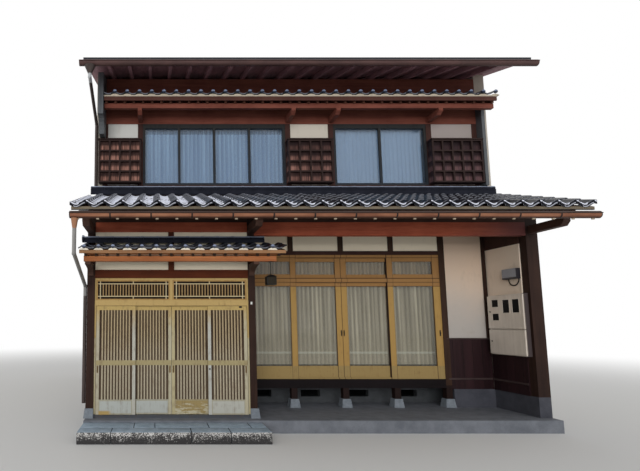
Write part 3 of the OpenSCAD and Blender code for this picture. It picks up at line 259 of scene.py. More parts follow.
# %% Tones and finishes
class Tone:
    """One socket of a material, to be used in sums."""

    def __init__(self, finish, socket):
        self.finish = finish
        self.socket = socket

    def maths(self, operation, *values):
        inputs = dict(enumerate(values))
        return self.finish.node("ShaderNodeMath", {"operation": operation}, inputs)

    def __add__(self, other):
        return self.maths("ADD", self, other)

    def __rsub__(self, other):
        return self.maths("SUBTRACT", other, self)

    def __sub__(self, other):
        return self.maths("SUBTRACT", self, other)

    def __mul__(self, other):
        return self.maths("MULTIPLY", self, other)

    def __truediv__(self, other):
        return self.maths("DIVIDE", self, other)

    __radd__ = __add__
    __rmul__ = __mul__

    def above(self, edge):
        return self.maths("GREATER_THAN", self, edge)

    def below(self, edge):
        return self.maths("LESS_THAN", self, edge)

    def cosine(self):
        return self.maths("COSINE", self)

    def inside(self, low, high):
        """1 from low to high, 0 elsewhere."""
        return self.above(low) * self.below(high)

    def floor(self):
        return self.maths("FLOOR", self)

    def part(self):
        return self.maths("FRACT", self)

    def between(self, low, high):
        """Rises smoothly from 0 at low to 1 at high."""
        return self.finish.node("ShaderNodeMapRange", {"interpolation_type": "SMOOTHSTEP"},
                                {"Value": self, "From Min": low, "From Max": high})


class Finish:
    """A material built node by node."""

    def __init__(self, name, **constants):
        self.material = bpy.data.materials.new(name)
        self.material.use_nodes = True
        self.tree = self.material.node_tree
        self.shader = self.tree.nodes["Principled BSDF"]
        for socket, value in constants.items():
            self.shader.inputs[socket.replace("_", " ")].default_value = value
        self.place = self.node("ShaderNodeTexCoord", output="Object")

    def node(self, kind, settings=None, inputs=None, output=0):
        made = self.tree.nodes.new(kind)
        for name, value in (settings or {}).items():
            setattr(made, name, value)
        for name, value in (inputs or {}).items():
            self.feed(made.inputs[name], value)
        return Tone(self, made.outputs[output])

    def feed(self, socket, value):
        if isinstance(value, Tone):
            self.tree.links.new(value.socket, socket)
        else:
            socket.default_value = value

    def axes(self, names):
        """The object's own coordinates: X along the front, Y into the house, Z up."""
        return [self.node("ShaderNodeSeparateXYZ", inputs={0: self.place}, output=name) for name in names]

    def noise(self, scale, detail=3, stretch=(1, 1, 1), roughness=0.55, shift=0.0):
        spot = self.node("ShaderNodeMapping",
                         inputs={"Vector": self.place, "Scale": stretch, "Location": (shift,) * 3})
        return self.node("ShaderNodeTexNoise",
                         inputs={"Vector": spot, "Scale": scale, "Detail": detail, "Roughness": roughness})

    def chance(self, x, y, z):
        """A random value for each whole place (x, y, z)."""
        spot = self.node("ShaderNodeCombineXYZ", inputs={0: x, 1: y, 2: z})
        return self.node("ShaderNodeTexWhiteNoise", inputs={"Vector": spot})

    def mix(self, a, b, share):
        colour = [value if isinstance(value, Tone) else (*value, 1) for value in (a, b)]
        return self.node("ShaderNodeMix", {"data_type": "RGBA"},
                         {0: share, 6: colour[0], 7: colour[1]}, output=2)

    def layered(self, colour, *layers):
        """Lays tones over a colour one by one, each as far as its share says."""
        for tone, share in layers:
            colour = self.mix(colour, tone, share)
        return colour

    def paint(self, colour, roughness, height, depth=0.001):
        """Feeds the shader a colour, a roughness, and a height for bumps of that depth."""
        self.feed(self.shader.inputs["Base Color"], colour)
        self.feed(self.shader.inputs["Roughness"], roughness)
        bump = self.node("ShaderNodeBump", inputs={"Height": height, "Distance": depth})
        self.feed(self.shader.inputs["Normal"], bump)
        return self.material


def scaled(tone, factor):
    return tuple(min(1, c * factor) for c in tone)


# %% [markdown]
# ### Wood
# The posts and beams are old cedar and cypress under a dark stain that wears along the fibres.
# Fibres are a noise squeezed across the grain and stretched along it; broad patches of a second
# noise carry the weathering. The stretch follows the length of each member, so posts are grained
# upright and beams along their run.

# %% Wood finishes
STRETCH = {"X": (0.05, 1, 1), "Y": (1, 0.05, 1), "Z": (1, 1, 0.05)}
SHUTTER_FOOT, SHUTTER_CELL = 4.438, 0.203


def fibres(finish, along):
    """Grain and streaks along an axis, and their sum with the weather as a share of the light tone."""
    grain = finish.noise(120, 4, STRETCH[along], 0.65)
    streak = finish.noise(20, 3, STRETCH[along], 0.5, shift=3.1)
    weather = finish.noise(2.2, 4, shift=7.0)
    return grain, streak, (grain * 0.55 + streak * 0.5 + weather * 0.5).between(0.35, 1.15)


def rafter_fibres(finish, patches, light_at):
    """Grain along the rafters, broad weather, and their sum as a share of the light tone."""
    grain = finish.noise(120, 4, STRETCH["Y"], 0.65)
    weather = finish.noise(patches, 4, shift=7.0)
    return grain, weather, (grain * 0.6 + weather * 0.6).between(0.35, light_at)


def stained(finish, colour, grain, broad, rough=0.5):
    return finish.paint(colour, grain * 0.25 + rough, grain * 0.6 + broad, 0.0012)


def wood(name, dark, light, along):
    finish = Finish(name, Specular_IOR_Level=0.2)
    grain, streak, share = fibres(finish, along)
    return stained(finish, finish.mix(dark, light, share), grain, streak, 0.52)


def split_wood(name, lower, upper, axis, edge, along="X"):
    """Wood of two stains, each (dark, light), that meet at a height or depth."""
    finish = Finish(name, Specular_IOR_Level=0.2)
    grain, streak, share = fibres(finish, along)
    place, = finish.axes(axis)
    colour = finish.mix(finish.mix(*lower, share), finish.mix(*upper, share), place.above(edge))
    return stained(finish, colour, grain, streak)


def beam_look():
    """Red-brown eave beams, painted almost black in their top strip as the shade under the rafters, and duller
    towards the right end.
    """
    finish = Finish("red beam wood", Specular_IOR_Level=0.2)
    across, height = finish.axes("XZ")
    grain, streak, share = fibres(finish, "X")
    colour = finish.layered(
        finish.mix((0.23, 0.042, 0.022), (0.56, 0.145, 0.075), share),
        ((0.09, 0.04, 0.045), across.between(2.2, 3.7) * 0.8),
        # Painted shade: the top strip is darkened as the shade under the rafters.
        (finish.mix((0.02, 0.01, 0.008), (0.075, 0.035, 0.024), share), height.above(3.455)))
    return stained(finish, colour, grain, streak)


def lower_eave_look():
    """Red-brown rafters; the eave board in front is pale above and painted nearly black below, as shade."""
    finish = Finish("lower eave wood", Specular_IOR_Level=0.2)
    deep, height = finish.axes("YZ")
    grain, weather, share = rafter_fibres(finish, 2.2, 1.0)
    # Painted shade: the eave board is darkened nearly black below its pale top.
    board = finish.mix((0.02, 0.014, 0.014), finish.mix((0.12, 0.099, 0.068), (0.26, 0.215, 0.155), share),
                       height.above(3.422))
    colour = finish.mix(finish.mix((0.062, 0.028, 0.02), (0.2, 0.098, 0.062), share), board, deep.below(-5.385))
    return stained(finish, colour, grain, weather)


def pent_look():
    """Reddish rafters and fascia of the pent roof; the rafters' cut ends are bare and pale."""
    finish = Finish("pent rafter wood", Specular_IOR_Level=0.2)
    across, deep, height = finish.axes("XYZ")
    grain, weather, share = rafter_fibres(finish, 2.6, 0.95)
    front = deep.below(-3.8915)
    bare = finish.mix((0.5, 0.38, 0.27), (0.12, 0.065, 0.05), across.between(-2.5, 1.5))
    colour = finish.layered(
        finish.mix((0.05, 0.02, 0.014), (0.15, 0.062, 0.042), share),
        (finish.mix((0.056, 0.022, 0.018), (0.11, 0.05, 0.038), share), front),
        (bare, front * height.below(5.864)))
    return stained(finish, colour, grain, weather)


def boarding(name, dark, light, pitch, start):
    """Upright boards, each a little different in tone, with dark joints between them."""
    finish = Finish(name, Specular_IOR_Level=0.25)
    across, deep = finish.axes("XY")
    boards = (across + deep - start) / pitch
    joint = boards.part().below(0.035)
    luck = finish.chance(boards.floor(), 0.3, 0.7)
    grain = finish.noise(90, 4, STRETCH["Z"], 0.65)
    streak = finish.noise(16, 3, STRETCH["Z"], 0.5, shift=3.1)
    colour = finish.mix(dark, light, (grain * 0.5 + streak * 0.5 + luck * 0.35).between(0.35, 1.1))
    colour = finish.mix(colour, (0.006, 0.004, 0.004), joint)
    return finish.paint(colour, grain * 0.2 + 0.45, grain * 0.6 + streak - joint, 0.0015)


def shutter_look():
    """Dark lattice with redder boards behind its cells, in deep shade at the top of each cell."""
    finish = Finish("shutter box lattice", Specular_IOR_Level=0.2)
    grain = finish.noise(130, 4, STRETCH["X"], 0.65)
    streak = finish.noise(20, 3, STRETCH["X"], 0.5)
    across, deep, height = finish.axes("XYZ")
    lattice = finish.mix((0.012, 0.007, 0.007), (0.04, 0.022, 0.019), grain * 0.6 + streak * 0.4)
    streaks = finish.noise(34, 3, (1, 1, 0.06), 0.7, shift=8.0).between(0.38, 0.66)
    up_the_cell = ((height - SHUTTER_FOOT) / SHUTTER_CELL).part()
    shade = (0.01, 0.005, 0.006)
    boards = finish.layered(
        finish.mix((0.055, 0.024, 0.018), (0.4, 0.2, 0.155), grain * 0.2 + streaks * 0.8),
        ((0.064, 0.038, 0.05), across.between(-1.0, 2.9) * 0.75),
        (shade, (up_the_cell + grain * 0.2).between(0.42, 0.72) * 0.85),
        (shade, height.between(4.75, 5.1) * across.between(-2.6, -0.2) * 0.7))
    colour = finish.mix(lattice, boards, deep.above(-3.53))
    return finish.paint(colour, grain * 0.2 + 0.55, grain * 0.6 + streak, 0.0012)


bright_stain = ((0.21, 0.062, 0.022), (0.46, 0.175, 0.066))
post_wood = wood("post wood", (0.013, 0.006, 0.005), (0.04, 0.02, 0.014), "Z")
arm_wood = wood("arm wood", (0.034, 0.018, 0.014), (0.11, 0.056, 0.04), "Y")
eave_wood = wood("dark eave wood", (0.17, 0.085, 0.105), (0.46, 0.245, 0.275), "Y")
dull_wood = wood("worn rail wood", (0.022, 0.014, 0.014), (0.07, 0.048, 0.046), "X")
lintel_wood = wood("lintel wood", (0.036, 0.008, 0.003), (0.102, 0.024, 0.008), "X")
infill_wood = wood("canopy infill wood", *bright_stain, "X")
floor_wood = wood("floor boards", (0.15, 0.085, 0.04), (0.33, 0.21, 0.11), "X")
frieze_wood = wood("frieze wood", (0.085, 0.022, 0.015), (0.23, 0.075, 0.052), "X")
upper_post_wood = wood("upper post wood", (0.02, 0.009, 0.008), (0.06, 0.026, 0.021), "Z")
canopy_wood = split_wood("canopy frame wood", ((0.03, 0.016, 0.012), (0.095, 0.05, 0.036)), bright_stain,
                         "Z", 2.7262)
canopy_boards = split_wood("canopy rafter wood", ((0.18, 0.08, 0.04), (0.42, 0.235, 0.115)),
                           ((0.016, 0.009, 0.007), (0.05, 0.028, 0.02)), "Y", -4.8285)
foot_post_wood = split_wood("window post wood", ((0.006, 0.003, 0.003), (0.022, 0.011, 0.009)),
                            ((0.018, 0.009, 0.006), (0.054, 0.028, 0.018)), "Z", 0.6, "Z")
window_beam_wood = split_wood("window beam wood", ((0.0025, 0.0014, 0.0018), (0.008, 0.0045, 0.0055)),
                              ((0.018, 0.008, 0.007), (0.055, 0.024, 0.018)), "Z", 0.742)
board_wood = boarding("wainscot boards", (0.01, 0.004, 0.005), (0.034, 0.014, 0.016), 0.182, 2.7275 - 3.40)
print("woods:", [m.name for m in bpy.data.materials if "wood" in m.name])

# %% [markdown]
# ### Anodised door and window metal
# The sliding doors and the recessed windows are ochre-coated metal that has weathered unevenly:
# chalky and pale where rain reaches it, brown where it runs down. Height is what decides it, so
# the height is one of the inputs, and a soft noise breaks the edge between the two tones.

# %% Door and window metal
OCHRE = (0.44, 0.31, 0.12)


def weather_marks(finish):
    """Soft clouds and the upright runs that rain leaves on coated metal."""
    return finish.noise(9, 4), finish.noise(34, 3, (1, 1, 0.08), shift=2.0)


def coated(name, pale, warm, brown, low, high, rough, metallic):
    finish = Finish(name, Metallic=metallic, Specular_IOR_Level=0.2)
    height, = finish.axes("Z")
    cloud, run = weather_marks(finish)
    colour = finish.layered(
        pale,
        (warm, (height + cloud * 0.5 - 0.25).between(low, high)),
        (brown, (run * cloud * 1.6).between(0.38, 0.75) * 0.55))
    return finish.paint(colour, run * 0.2 + rough, cloud + run * 0.5, 0.0006)


def banded(name, tones, edges, joints=()):
    """Coated metal that changes tone at the given heights; each line (axis, place, depth) is a painted shadow line
    where parts meet.
    """
    finish = Finish(name, Metallic=0.1, Specular_IOR_Level=0.2)
    height, = finish.axes("Z")
    cloud, run = weather_marks(finish)
    layers = [(tone, height.between(edge - 0.002, edge + 0.002)) for tone, edge in zip(tones[1:], edges)]
    layers.append(((0.16, 0.085, 0.035), (run * cloud * 1.6).between(0.4, 0.8) * 0.4))
    # Painted shadow lines where sashes, rails and frames meet.
    for axis, spot, depth in joints:
        layers.append(((0.035, 0.014, 0.01), finish.axes(axis)[0].inside(spot - 0.0065, spot + 0.0065) * depth))
    return finish.paint(finish.layered(tones[0], *layers), run * 0.2 + 0.36, cloud + run * 0.5, 0.0006)


def leaf_finish(name, track, panel, left_stile, right_stile, patches=None):
    """Leaf metal: pale or ochre panel and stiles, slats in front of a darker pane."""
    low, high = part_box(name)
    finish = Finish(name.replace("_", " ") + " finish", Metallic=0.08, Specular_IOR_Level=0.15)
    across, deep, height = finish.axes("XYZ")
    cloud = finish.noise(11, 4, shift=track * 3)
    run = finish.noise(40, 3, (1, 1, 0.07), shift=track)
    scratch = finish.noise(16, 5, (0.45, 1, 2.4), 0.7, shift=track * 5)
    upper = (height + cloud * 0.35).between(1.0, 1.9)
    top = (height + cloud * 0.35).between(1.75, 2.15) * 0.75
    at_left = across.below(low.x + 0.052)
    at_right = across.above(high.x - 0.052)
    rail = height.inside(low.z + 0.806, low.z + 0.886)
    foot = height.below(low.z + 0.246) * (1 - at_left) * (1 - at_right)
    inner = height.inside(0.275, 0.465) * across.inside(low.x + 0.068, high.x - 0.068)
    pane = deep.above(low.y + 0.0125) * height.inside(low.z + 0.247, high.z - 0.068)
    layers = [((0.38, 0.295, 0.175), upper),
              (finish.mix(left_stile, OCHRE, top), at_left),
              (finish.mix(right_stile, OCHRE, top), at_right),
              ((0.36, 0.3, 0.16), rail),
              ((0.47, 0.34, 0.13), height.above(high.z - 0.067)),
              (panel, foot),
              ((0.33, 0.29, 0.18), foot * (1 - inner) * 0.6)]
    if patches == "pale":
        layers.append(((0.5, 0.46, 0.33), foot * (scratch + (0.36 - height) * 0.9).between(0.5, 0.56)))
    if patches == "ochre":
        corner = (low.x + 0.26 - across).between(-0.02, 0.06) * (0.315 - height).between(-0.01, 0.02)
        layers.append((OCHRE, corner * (1 - at_left) * (scratch + 0.2).between(0.4, 0.6)))
    layers += [(finish.mix((0.075, 0.052, 0.034), (0.034, 0.02, 0.011), upper), pane * (1 - rail)),
               ((0.17, 0.115, 0.07), (run * cloud * 1.7).between(0.36, 0.8) * 0.45)]
    colour = finish.layered((0.42, 0.365, 0.265), *layers)
    return finish.paint(colour, run * 0.2 + 0.36, cloud + run * 0.5, 0.0005)


def transom_look():
    """Ochre frame, pale border bars, taupe fine bars and a dark pane behind them."""
    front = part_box("entrance_transom")[0].y
    finish = Finish("transom finish", Metallic=0.05, Specular_IOR_Level=0.1)
    deep, = finish.axes("Y")
    cloud = finish.noise(12, 4)
    run = finish.noise(60, 3, (1, 1, 0.1))
    colour = finish.layered(
        (0.44, 0.285, 0.105),
        ((0.34, 0.205, 0.08), (cloud + run * 0.4).between(0.5, 0.9)),
        ((0.52, 0.43, 0.26), deep.above(front + 0.001)),
        ((0.36, 0.24, 0.11), deep.above(front + 0.003)),
        ((0.014, 0.008, 0.005), deep.above(front + 0.0165)))
    return finish.paint(colour, run * 0.2 + 0.4, cloud + run, 0.0005)


# Painted shadow lines of the window front, as (axis, place, depth).
sash_shadow_lines = [("X", 0.8725, 0.7), ("X", 0.0095, 0.6), ("X", -0.1005, 0.4), ("X", 0.762, 0.8), ("X", 0.983, 0.4),
               ("X", 1.7345, 1.0), ("X", 1.8455, 0.4), ("X", 2.598, 0.7), ("Z", 2.5905, 0.9), ("Z", 2.516, 0.6),
               ("Z", 2.4405, 0.5), ("Z", 2.986, 0.6)]
frame_metal = banded("ochre frame metal", [(0.075, 0.08, 0.092), (0.46, 0.4, 0.25), (0.47, 0.33, 0.13)],
                     [0.2605, 1.5])
window_metal = banded("ochre window metal", [(0.32, 0.225, 0.09), (0.4, 0.245, 0.078), (0.32, 0.17, 0.06)],
                      [0.9525, 2.43], sash_shadow_lines)
cream = (0.44, 0.46, 0.43)
leaf_looks = {
    "door_leaf_1": leaf_finish("door_leaf_1", 1, cream, (0.44, 0.4, 0.3), (0.47, 0.46, 0.4), "ochre"),
    "door_leaf_2": leaf_finish("door_leaf_2", 2, cream, (0.46, 0.4, 0.28), (0.46, 0.42, 0.3)),
    "door_leaf_3": leaf_finish("door_leaf_3", 3, (0.33, 0.25, 0.11), (0.46, 0.4, 0.24), OCHRE, "pale"),
    "door_leaf_4": leaf_finish("door_leaf_4", 4, (0.46, 0.46, 0.41), (0.48, 0.48, 0.44), (0.46, 0.42, 0.3))}
bronze_metal = coated("bronze window metal", (0.02, 0.024, 0.03), (0.024, 0.024, 0.024), (0.01, 0.009, 0.009),
                      4.4, 5.6, 0.42, 0.0)
grey_metal = coated("grey window metal", (0.24, 0.24, 0.235), (0.29, 0.28, 0.265), (0.14, 0.13, 0.12),
                    0.5, 6.0, 0.3, 0.3)
print("coated metals:", len(leaf_looks) + 4)

# %% [markdown]
# ### Plaster, concrete and stone
# Plaster is a fine trowelled skin: nearly one colour, a soft cloud, and very small bumps. Its
# tone is painted with the light it gets: cooler and paler low down, where open daylight reaches
# it, and warmer under the eaves. Where the lower eaves shade the ground storey, its tone is
# painted brighter to make up for that shade.
# Concrete is coarser, with pores and formwork stains. The step's stones are blue-grey on top
# and dark in front, with pale grit there.

# %% Mineral finishes
def plaster(name, low_tone, high_tone, low, high, stain=(0.3, 0.25, 0.19), zones=(), stained_share=0.3):
    """Trowelled plaster; each zone is (axis, edge, whether it lies above the edge, tone)."""
    finish = Finish(name, Roughness=0.9)
    height, = finish.axes("Z")
    cloud = finish.noise(1.7, 5)
    fine = finish.noise(240, 3)
    trowel = finish.noise(14, 4, (1, 1, 0.35), shift=4.0)
    rain = finish.noise(3.0, 4, (1, 1, 0.12), 0.6, shift=11.0)
    layers = [(high_tone, (height + cloud * 0.8 - 0.4).between(low, high))]
    for axis, edge, beyond, tone in zones:
        place, = finish.axes(axis)
        layers.append((tone, place.above(edge) if beyond else place.below(edge)))
    layers += [(stain, (cloud + trowel).between(1.05, 1.5) * stained_share),
               (stain, rain.between(0.52, 0.72) * (stained_share - 0.3))]
    return finish.paint(finish.layered(low_tone, *layers), fine * 0.1 + 0.82, fine * 0.5 + trowel, 0.0012)


def mineral(name, dark, light, scale=6, pores=90, rough=0.85, depth=0.003):
    finish = Finish(name)
    cloud = finish.noise(scale, 5)
    pore = finish.noise(pores, 4, roughness=0.7)
    stain = finish.noise(1.3, 4, (1, 1, 0.3), shift=5.0)
    colour = finish.mix(dark, light, (cloud * 0.6 + pore * 0.5 + stain * 0.3).between(0.35, 1.0))
    return finish.paint(colour, pore * 0.15 + (rough - 0.1), pore + cloud, depth)


def step_look():
    """Blue-grey tops; the front face is dark and full of pale grit."""
    finish = Finish("step stone")
    deep, height = finish.axes("YZ")
    cloud = finish.noise(9, 5)
    pore = finish.noise(160, 4, (1, 0.4, 1), 0.7)
    grit = finish.noise(62, 2, (1, 1, 1), 0.8, shift=4.0)
    face = finish.mix((0.034, 0.032, 0.033), (0.62, 0.61, 0.59),
                      (grit + cloud * 0.35 + (height - 0.1) * 1.5).between(0.69, 0.82))
    seam = height.below(0.167) + deep.inside(-4.9375, -4.9245)
    colour = finish.layered(
        (0.215, 0.285, 0.355),
        ((0.52, 0.64, 0.77), (cloud * 0.6 + pore * 0.6).between(0.35, 1.0)),
        (face, deep.below(-5.2262)),
        ((0.03, 0.034, 0.04), seam * deep.above(-5.2255)))
    return finish.paint(colour, pore * 0.15 + 0.7, pore + cloud + grit, 0.003)


# The zone tones of the ground plaster are painted bright to make up for the shade under the lower eaves.
front_plaster = plaster("front plaster", (0.43, 0.4, 0.37), (0.7, 0.54, 0.41), 1.5, 3.0,
                        zones=(("X", 2.73, False, (0.92, 0.82, 0.64)), ("X", 3.6, True, (0.76, 0.64, 0.52))))
upper_plaster = plaster("upper plaster", (0.54, 0.54, 0.52), (0.55, 0.55, 0.52), 4.4, 6.0,
                        zones=(("X", -1.0, True, (0.56, 0.51, 0.44)), ("X", 2.6, True, (0.33, 0.285, 0.27))))
side_plaster = plaster("side wall plaster", (0.34, 0.31, 0.265), (0.46, 0.42, 0.36), 0.4, 2.6,
                       (0.2, 0.17, 0.13), stained_share=0.7)
bell_cover = plaster("bell cover", (0.62, 0.62, 0.6), (0.66, 0.66, 0.63), 2.0, 2.1)
concrete = mineral("concrete", (0.095, 0.104, 0.122), (0.2, 0.212, 0.238))
plinth_look = mineral("plinth concrete", (0.032, 0.034, 0.044), (0.074, 0.076, 0.092))
dark_concrete = mineral("dark concrete", (0.03, 0.033, 0.036), (0.075, 0.08, 0.086))
pedestal_stone = mineral("pedestal stone", (0.1, 0.118, 0.14), (0.24, 0.268, 0.3), 14, 120, 0.8)
mortar = mineral("cream mortar", (0.34, 0.29, 0.22), (0.58, 0.51, 0.41), 20, 200, 0.9, 0.002)
bright_mortar = mineral("bright mortar", (0.62, 0.55, 0.44), (0.92, 0.84, 0.7), 20, 200, 0.9, 0.002)
print("mineral finishes ready")

# %% [markdown]
# ### Glazed tile, sheet and gutters
# The tiles are smoke-fired and glazed blue-black. Each came out of the kiln a little different,
# so the tile's column and row are turned into a chance value that shifts its tone. The pale lines
# along the tile edges and on the hanging lips are painted highlights: the sky's reflection in the
# glaze, painted into the colour.

# %% Roof finishes
ENAMEL = ((0.6, 0.53, 0.455), (0.74, 0.665, 0.58))


def tile_glaze(name, roof, tone, coat, glint, lip_top=None):
    """Glaze for a roof of tiles; glint is the strength of the painted pale highlights on the edges, lip_top the
    lips' height.
    """
    finish = Finish(name, Coat_Weight=coat, Coat_Roughness=0.12, IOR=1.2)
    across, deep, height = finish.axes("XYZ")
    columns = (across - roof["x"]) / roof["pitch"]
    courses = (deep - roof["eave"][0]) / roof["exposure"]
    luck = finish.chance(columns.floor(), courses.floor(), 0.5)
    along, down = columns.part(), courses.part()
    cloud = finish.noise(7, 4)
    fine = finish.noise(150, 3)
    glint_breakup = finish.noise(38, 3, (1, 1, 1), 0.6, shift=6.0)
    # Painted highlights: pale glints, the sky's reflection, along each tile's front edges.
    edge = down.below(0.045) + down.above(0.965)
    rim = edge * (0.2 + along.below(0.58) * 0.8) * (glint_breakup + luck * 0.3).between(0.36, 0.56)
    if lip_top:
        # Painted highlights on the eave lips: an upper and a lower crescent along the wave.
        wave = 0.5 - ((along - 0.35) * (2 * math.pi)).cosine() * 0.5
        fall = (wave * roof["height"] + lip_top - height) / 0.06
        upper = fall.between(0.02, 0.12) * (1 - fall.between(0.32, 0.42))
        upper = upper * (along.below(0.5) + along.above(0.9))
        lower = fall.between(0.66, 0.74) * (1 - fall.between(0.9, 1.0)) * along.inside(0.22, 0.84)
        broken = (glint_breakup + luck * 0.2).between(0.3, 0.5)
        rim = rim + deep.below(roof["eave"][0] - 0.005) * (upper + lower * 0.55) * broken
    colour = finish.layered(
        scaled((0.013, 0.014, 0.024), tone),
        (scaled((0.05, 0.054, 0.078), tone), luck * 0.55 + cloud * 0.35),
        (scaled((0.11, 0.112, 0.125), tone), (cloud + fine * 0.4).between(0.75, 1.05) * 0.4),
        ((0.84, 0.87, 0.98), rim * glint))
    return finish.paint(colour, luck * 0.12 + fine * 0.16 + 0.2, cloud * 0.6 + fine * 0.3, 0.0015)


def ridge_look(name, top):
    """Dull dark glaze with a painted pale highlight line above the height top, where the caps are highest."""
    finish = Finish(name, Coat_Weight=0.0, Specular_IOR_Level=0.06)
    height, = finish.axes("Z")
    cloud = finish.noise(7, 4)
    fine = finish.noise(150, 3)
    colour = finish.layered(
        (0.006, 0.007, 0.011),
        ((0.022, 0.024, 0.036), cloud + fine * 0.2 - 0.1),
        # Painted highlight: a pale line along the caps' crests.
        ((0.27, 0.31, 0.4), height.above(top) * (cloud + fine * 0.3).between(0.2, 0.6)))
    return finish.paint(colour, fine * 0.2 + 0.35, cloud * 0.6 + fine * 0.3, 0.0015)


def disc_look(name, middle):
    """The pressed discs are dark below, with a painted pale blue-grey highlight above the height middle."""
    finish = Finish(name, Coat_Weight=0.2, Coat_Roughness=0.15)
    height, = finish.axes("Z")
    cloud = finish.noise(18, 4)
    fine = finish.noise(150, 3)
    colour = finish.layered(
        (0.008, 0.012, 0.026),
        ((0.03, 0.04, 0.075), cloud),
        # Painted highlight: pale blue-grey on each disc's upper part.
        ((0.3, 0.36, 0.52), (height - middle + cloud * 0.02 - 0.01).between(-0.004, 0.014) * 0.85))
    return finish.paint(colour, fine * 0.2 + 0.2, cloud * 0.6 + fine * 0.3, 0.001)


def rolled(finish, along):
    """The clouds and drawn lines of rolled sheet, and their sum as a share of the light tone."""
    cloud = finish.noise(3.2, 4)
    run = finish.noise(26, 4, STRETCH[along], shift=1.5)
    return cloud, run, (cloud * 0.5 + run * 0.6).between(0.3, 0.85)


def sheet(name, dark, light, rough, metallic, along="Y", depth=0.0008):
    finish = Finish(name, Metallic=metallic)
    cloud, run, share = rolled(finish, along)
    speck = finish.noise(160, 2)
    colour = finish.mix(dark, light, share)
    return finish.paint(colour, cloud * 0.2 + speck * 0.1 + (rough - 0.12), run + speck * 0.3, depth)


def gutter_look(name, x_start, step):
    """Copper-brown gutter, painted dark underneath and along its top bead as shade, with dark marks where the
    straps cross it.
    """
    finish = Finish(name, Metallic=0.2, Specular_IOR_Level=0.3)
    across, height = finish.axes("XZ")
    cloud, run, share = rolled(finish, "X")
    copper_tone = finish.mix((0.17, 0.062, 0.034), (0.4, 0.18, 0.1), share)
    colour = finish.layered(
        # Painted shade: the gutter is dark underneath its copper band.
        (0.085, 0.036, 0.024),
        (copper_tone, (height + cloud * 0.008).between(3.283, 3.3)),
        ((0.02, 0.014, 0.013), ((across - x_start) / step + 0.02).part().below(0.04)),
        # Painted shade along the gutter's top bead.
        ((0.045, 0.024, 0.018), height.above(3.332)))
    return finish.paint(colour, cloud * 0.2 + 0.4, run, 0.0008)


def spout_look():
    """Dark brown pipes; the upper one has a bare sleeve, the lower one a pale grey length."""
    finish = Finish("downspout sheet", Metallic=0.2)
    across, deep, height = finish.axes("XYZ")
    cloud, run, share = rolled(finish, "Z")
    colour = finish.layered(
        finish.mix((0.03, 0.022, 0.02), (0.085, 0.062, 0.055), share),
        (finish.mix((0.3, 0.31, 0.32), (0.52, 0.53, 0.54), share),
         deep.below(-4.35) * height.inside(5.95, 6.072)),
        (finish.mix((0.16, 0.155, 0.15), (0.3, 0.29, 0.28), share),
         height.inside(2.2, 3.2) * across.below(-3.8)),
        ((0.36, 0.17, 0.09), height.inside(3.12, 3.3) * deep.below(-5.2)))
    return finish.paint(colour, cloud * 0.2 + 0.36, run, 0.0008)


def cabinet_look():
    """Cream enamel for the cabinet, grey for the small box over it, which is dark underneath; the cabinet's
    street-facing strip is painted dark as shade.
    """
    finish = Finish("cabinet enamel")
    deep, height = finish.axes("YZ")
    cloud = finish.noise(3.2, 4)
    speck = finish.noise(160, 2)
    grey = finish.layered(
        (0.22, 0.23, 0.26),
        ((0.34, 0.36, 0.4), cloud),
        ((0.035, 0.035, 0.045), height.below(2.54)),
        ((0.018, 0.016, 0.02), deep.below(-4.2085)))
    colour = finish.layered(
        ENAMEL[0],
        (ENAMEL[1], (cloud + speck * 0.2).between(0.35, 0.8)),
        (grey, height.above(2.4)),
        # Painted shade on the cabinet's street-facing strip.
        ((0.03, 0.018, 0.018), deep.below(-4.3285)))
    return finish.paint(colour, cloud * 0.2 + 0.35, cloud + speck * 0.2, 0.0004)


GUTTER_LEFT, GUTTER_RIGHT, GUTTER_LENGTHS = -3.9125, 3.8475, 13
copper = gutter_look("copper gutter", GUTTER_LEFT, (GUTTER_RIGHT - GUTTER_LEFT) / GUTTER_LENGTHS)
sheet_roof = sheet("grey roof sheet", (0.012, 0.013, 0.017), (0.034, 0.036, 0.043), 0.68, 0.1)
dark_gutter = sheet("dark gutter", (0.044, 0.021, 0.019), (0.11, 0.055, 0.05), 0.5, 0.15, "X")
grey_sheet = sheet("grey wing sheet", (0.062, 0.068, 0.075), (0.115, 0.124, 0.134), 0.5, 0.3, "Z")
black_iron = sheet("black iron", (0.01, 0.01, 0.01), (0.03, 0.028, 0.026), 0.5, 0.6, "Z")
pale_metal = sheet("pale hook metal", (0.26, 0.2, 0.14), (0.52, 0.43, 0.32), 0.5, 0.2, "X")
brass = sheet("brown brass", (0.11, 0.07, 0.03), (0.24, 0.155, 0.07), 0.4, 0.7, "Z")
cabinet_paint = sheet("cream cabinet paint", *ENAMEL, 0.45, 0.0, "Z", 0.0003)
print("roof and sheet finishes ready")

# %% [markdown]
# ### Glass
# A pane is mostly see-through, so its finish is a thin tinted film: little of its own colour, a
# low roughness, and an index of refraction raised so that the faint reflection is as strong as
# that of a real double surface.

# %% Glass finishes
def glass(name, tint, alpha, rough=0.06, ior=2.2):
    finish = Finish(name, Alpha=alpha, IOR=ior)
    ripple = finish.noise(2.4, 2)
    return finish.paint(finish.mix(tint, scaled(tint, 1.5), ripple), ripple * 0.03 + rough, ripple, 0.0006)


ground_pane = glass("ground storey glass", (0.09, 0.09, 0.075), 0.2)
upper_pane = glass("upper storey glass", (0.08, 0.11, 0.15), 0.2)
dark_pane = glass("dark meter pane", (0.006, 0.006, 0.007), 1.0, 0.3, 1.15)
frosted_pane = glass("frosted lantern pane", (0.026, 0.021, 0.015), 1.0, 0.5, 1.12)

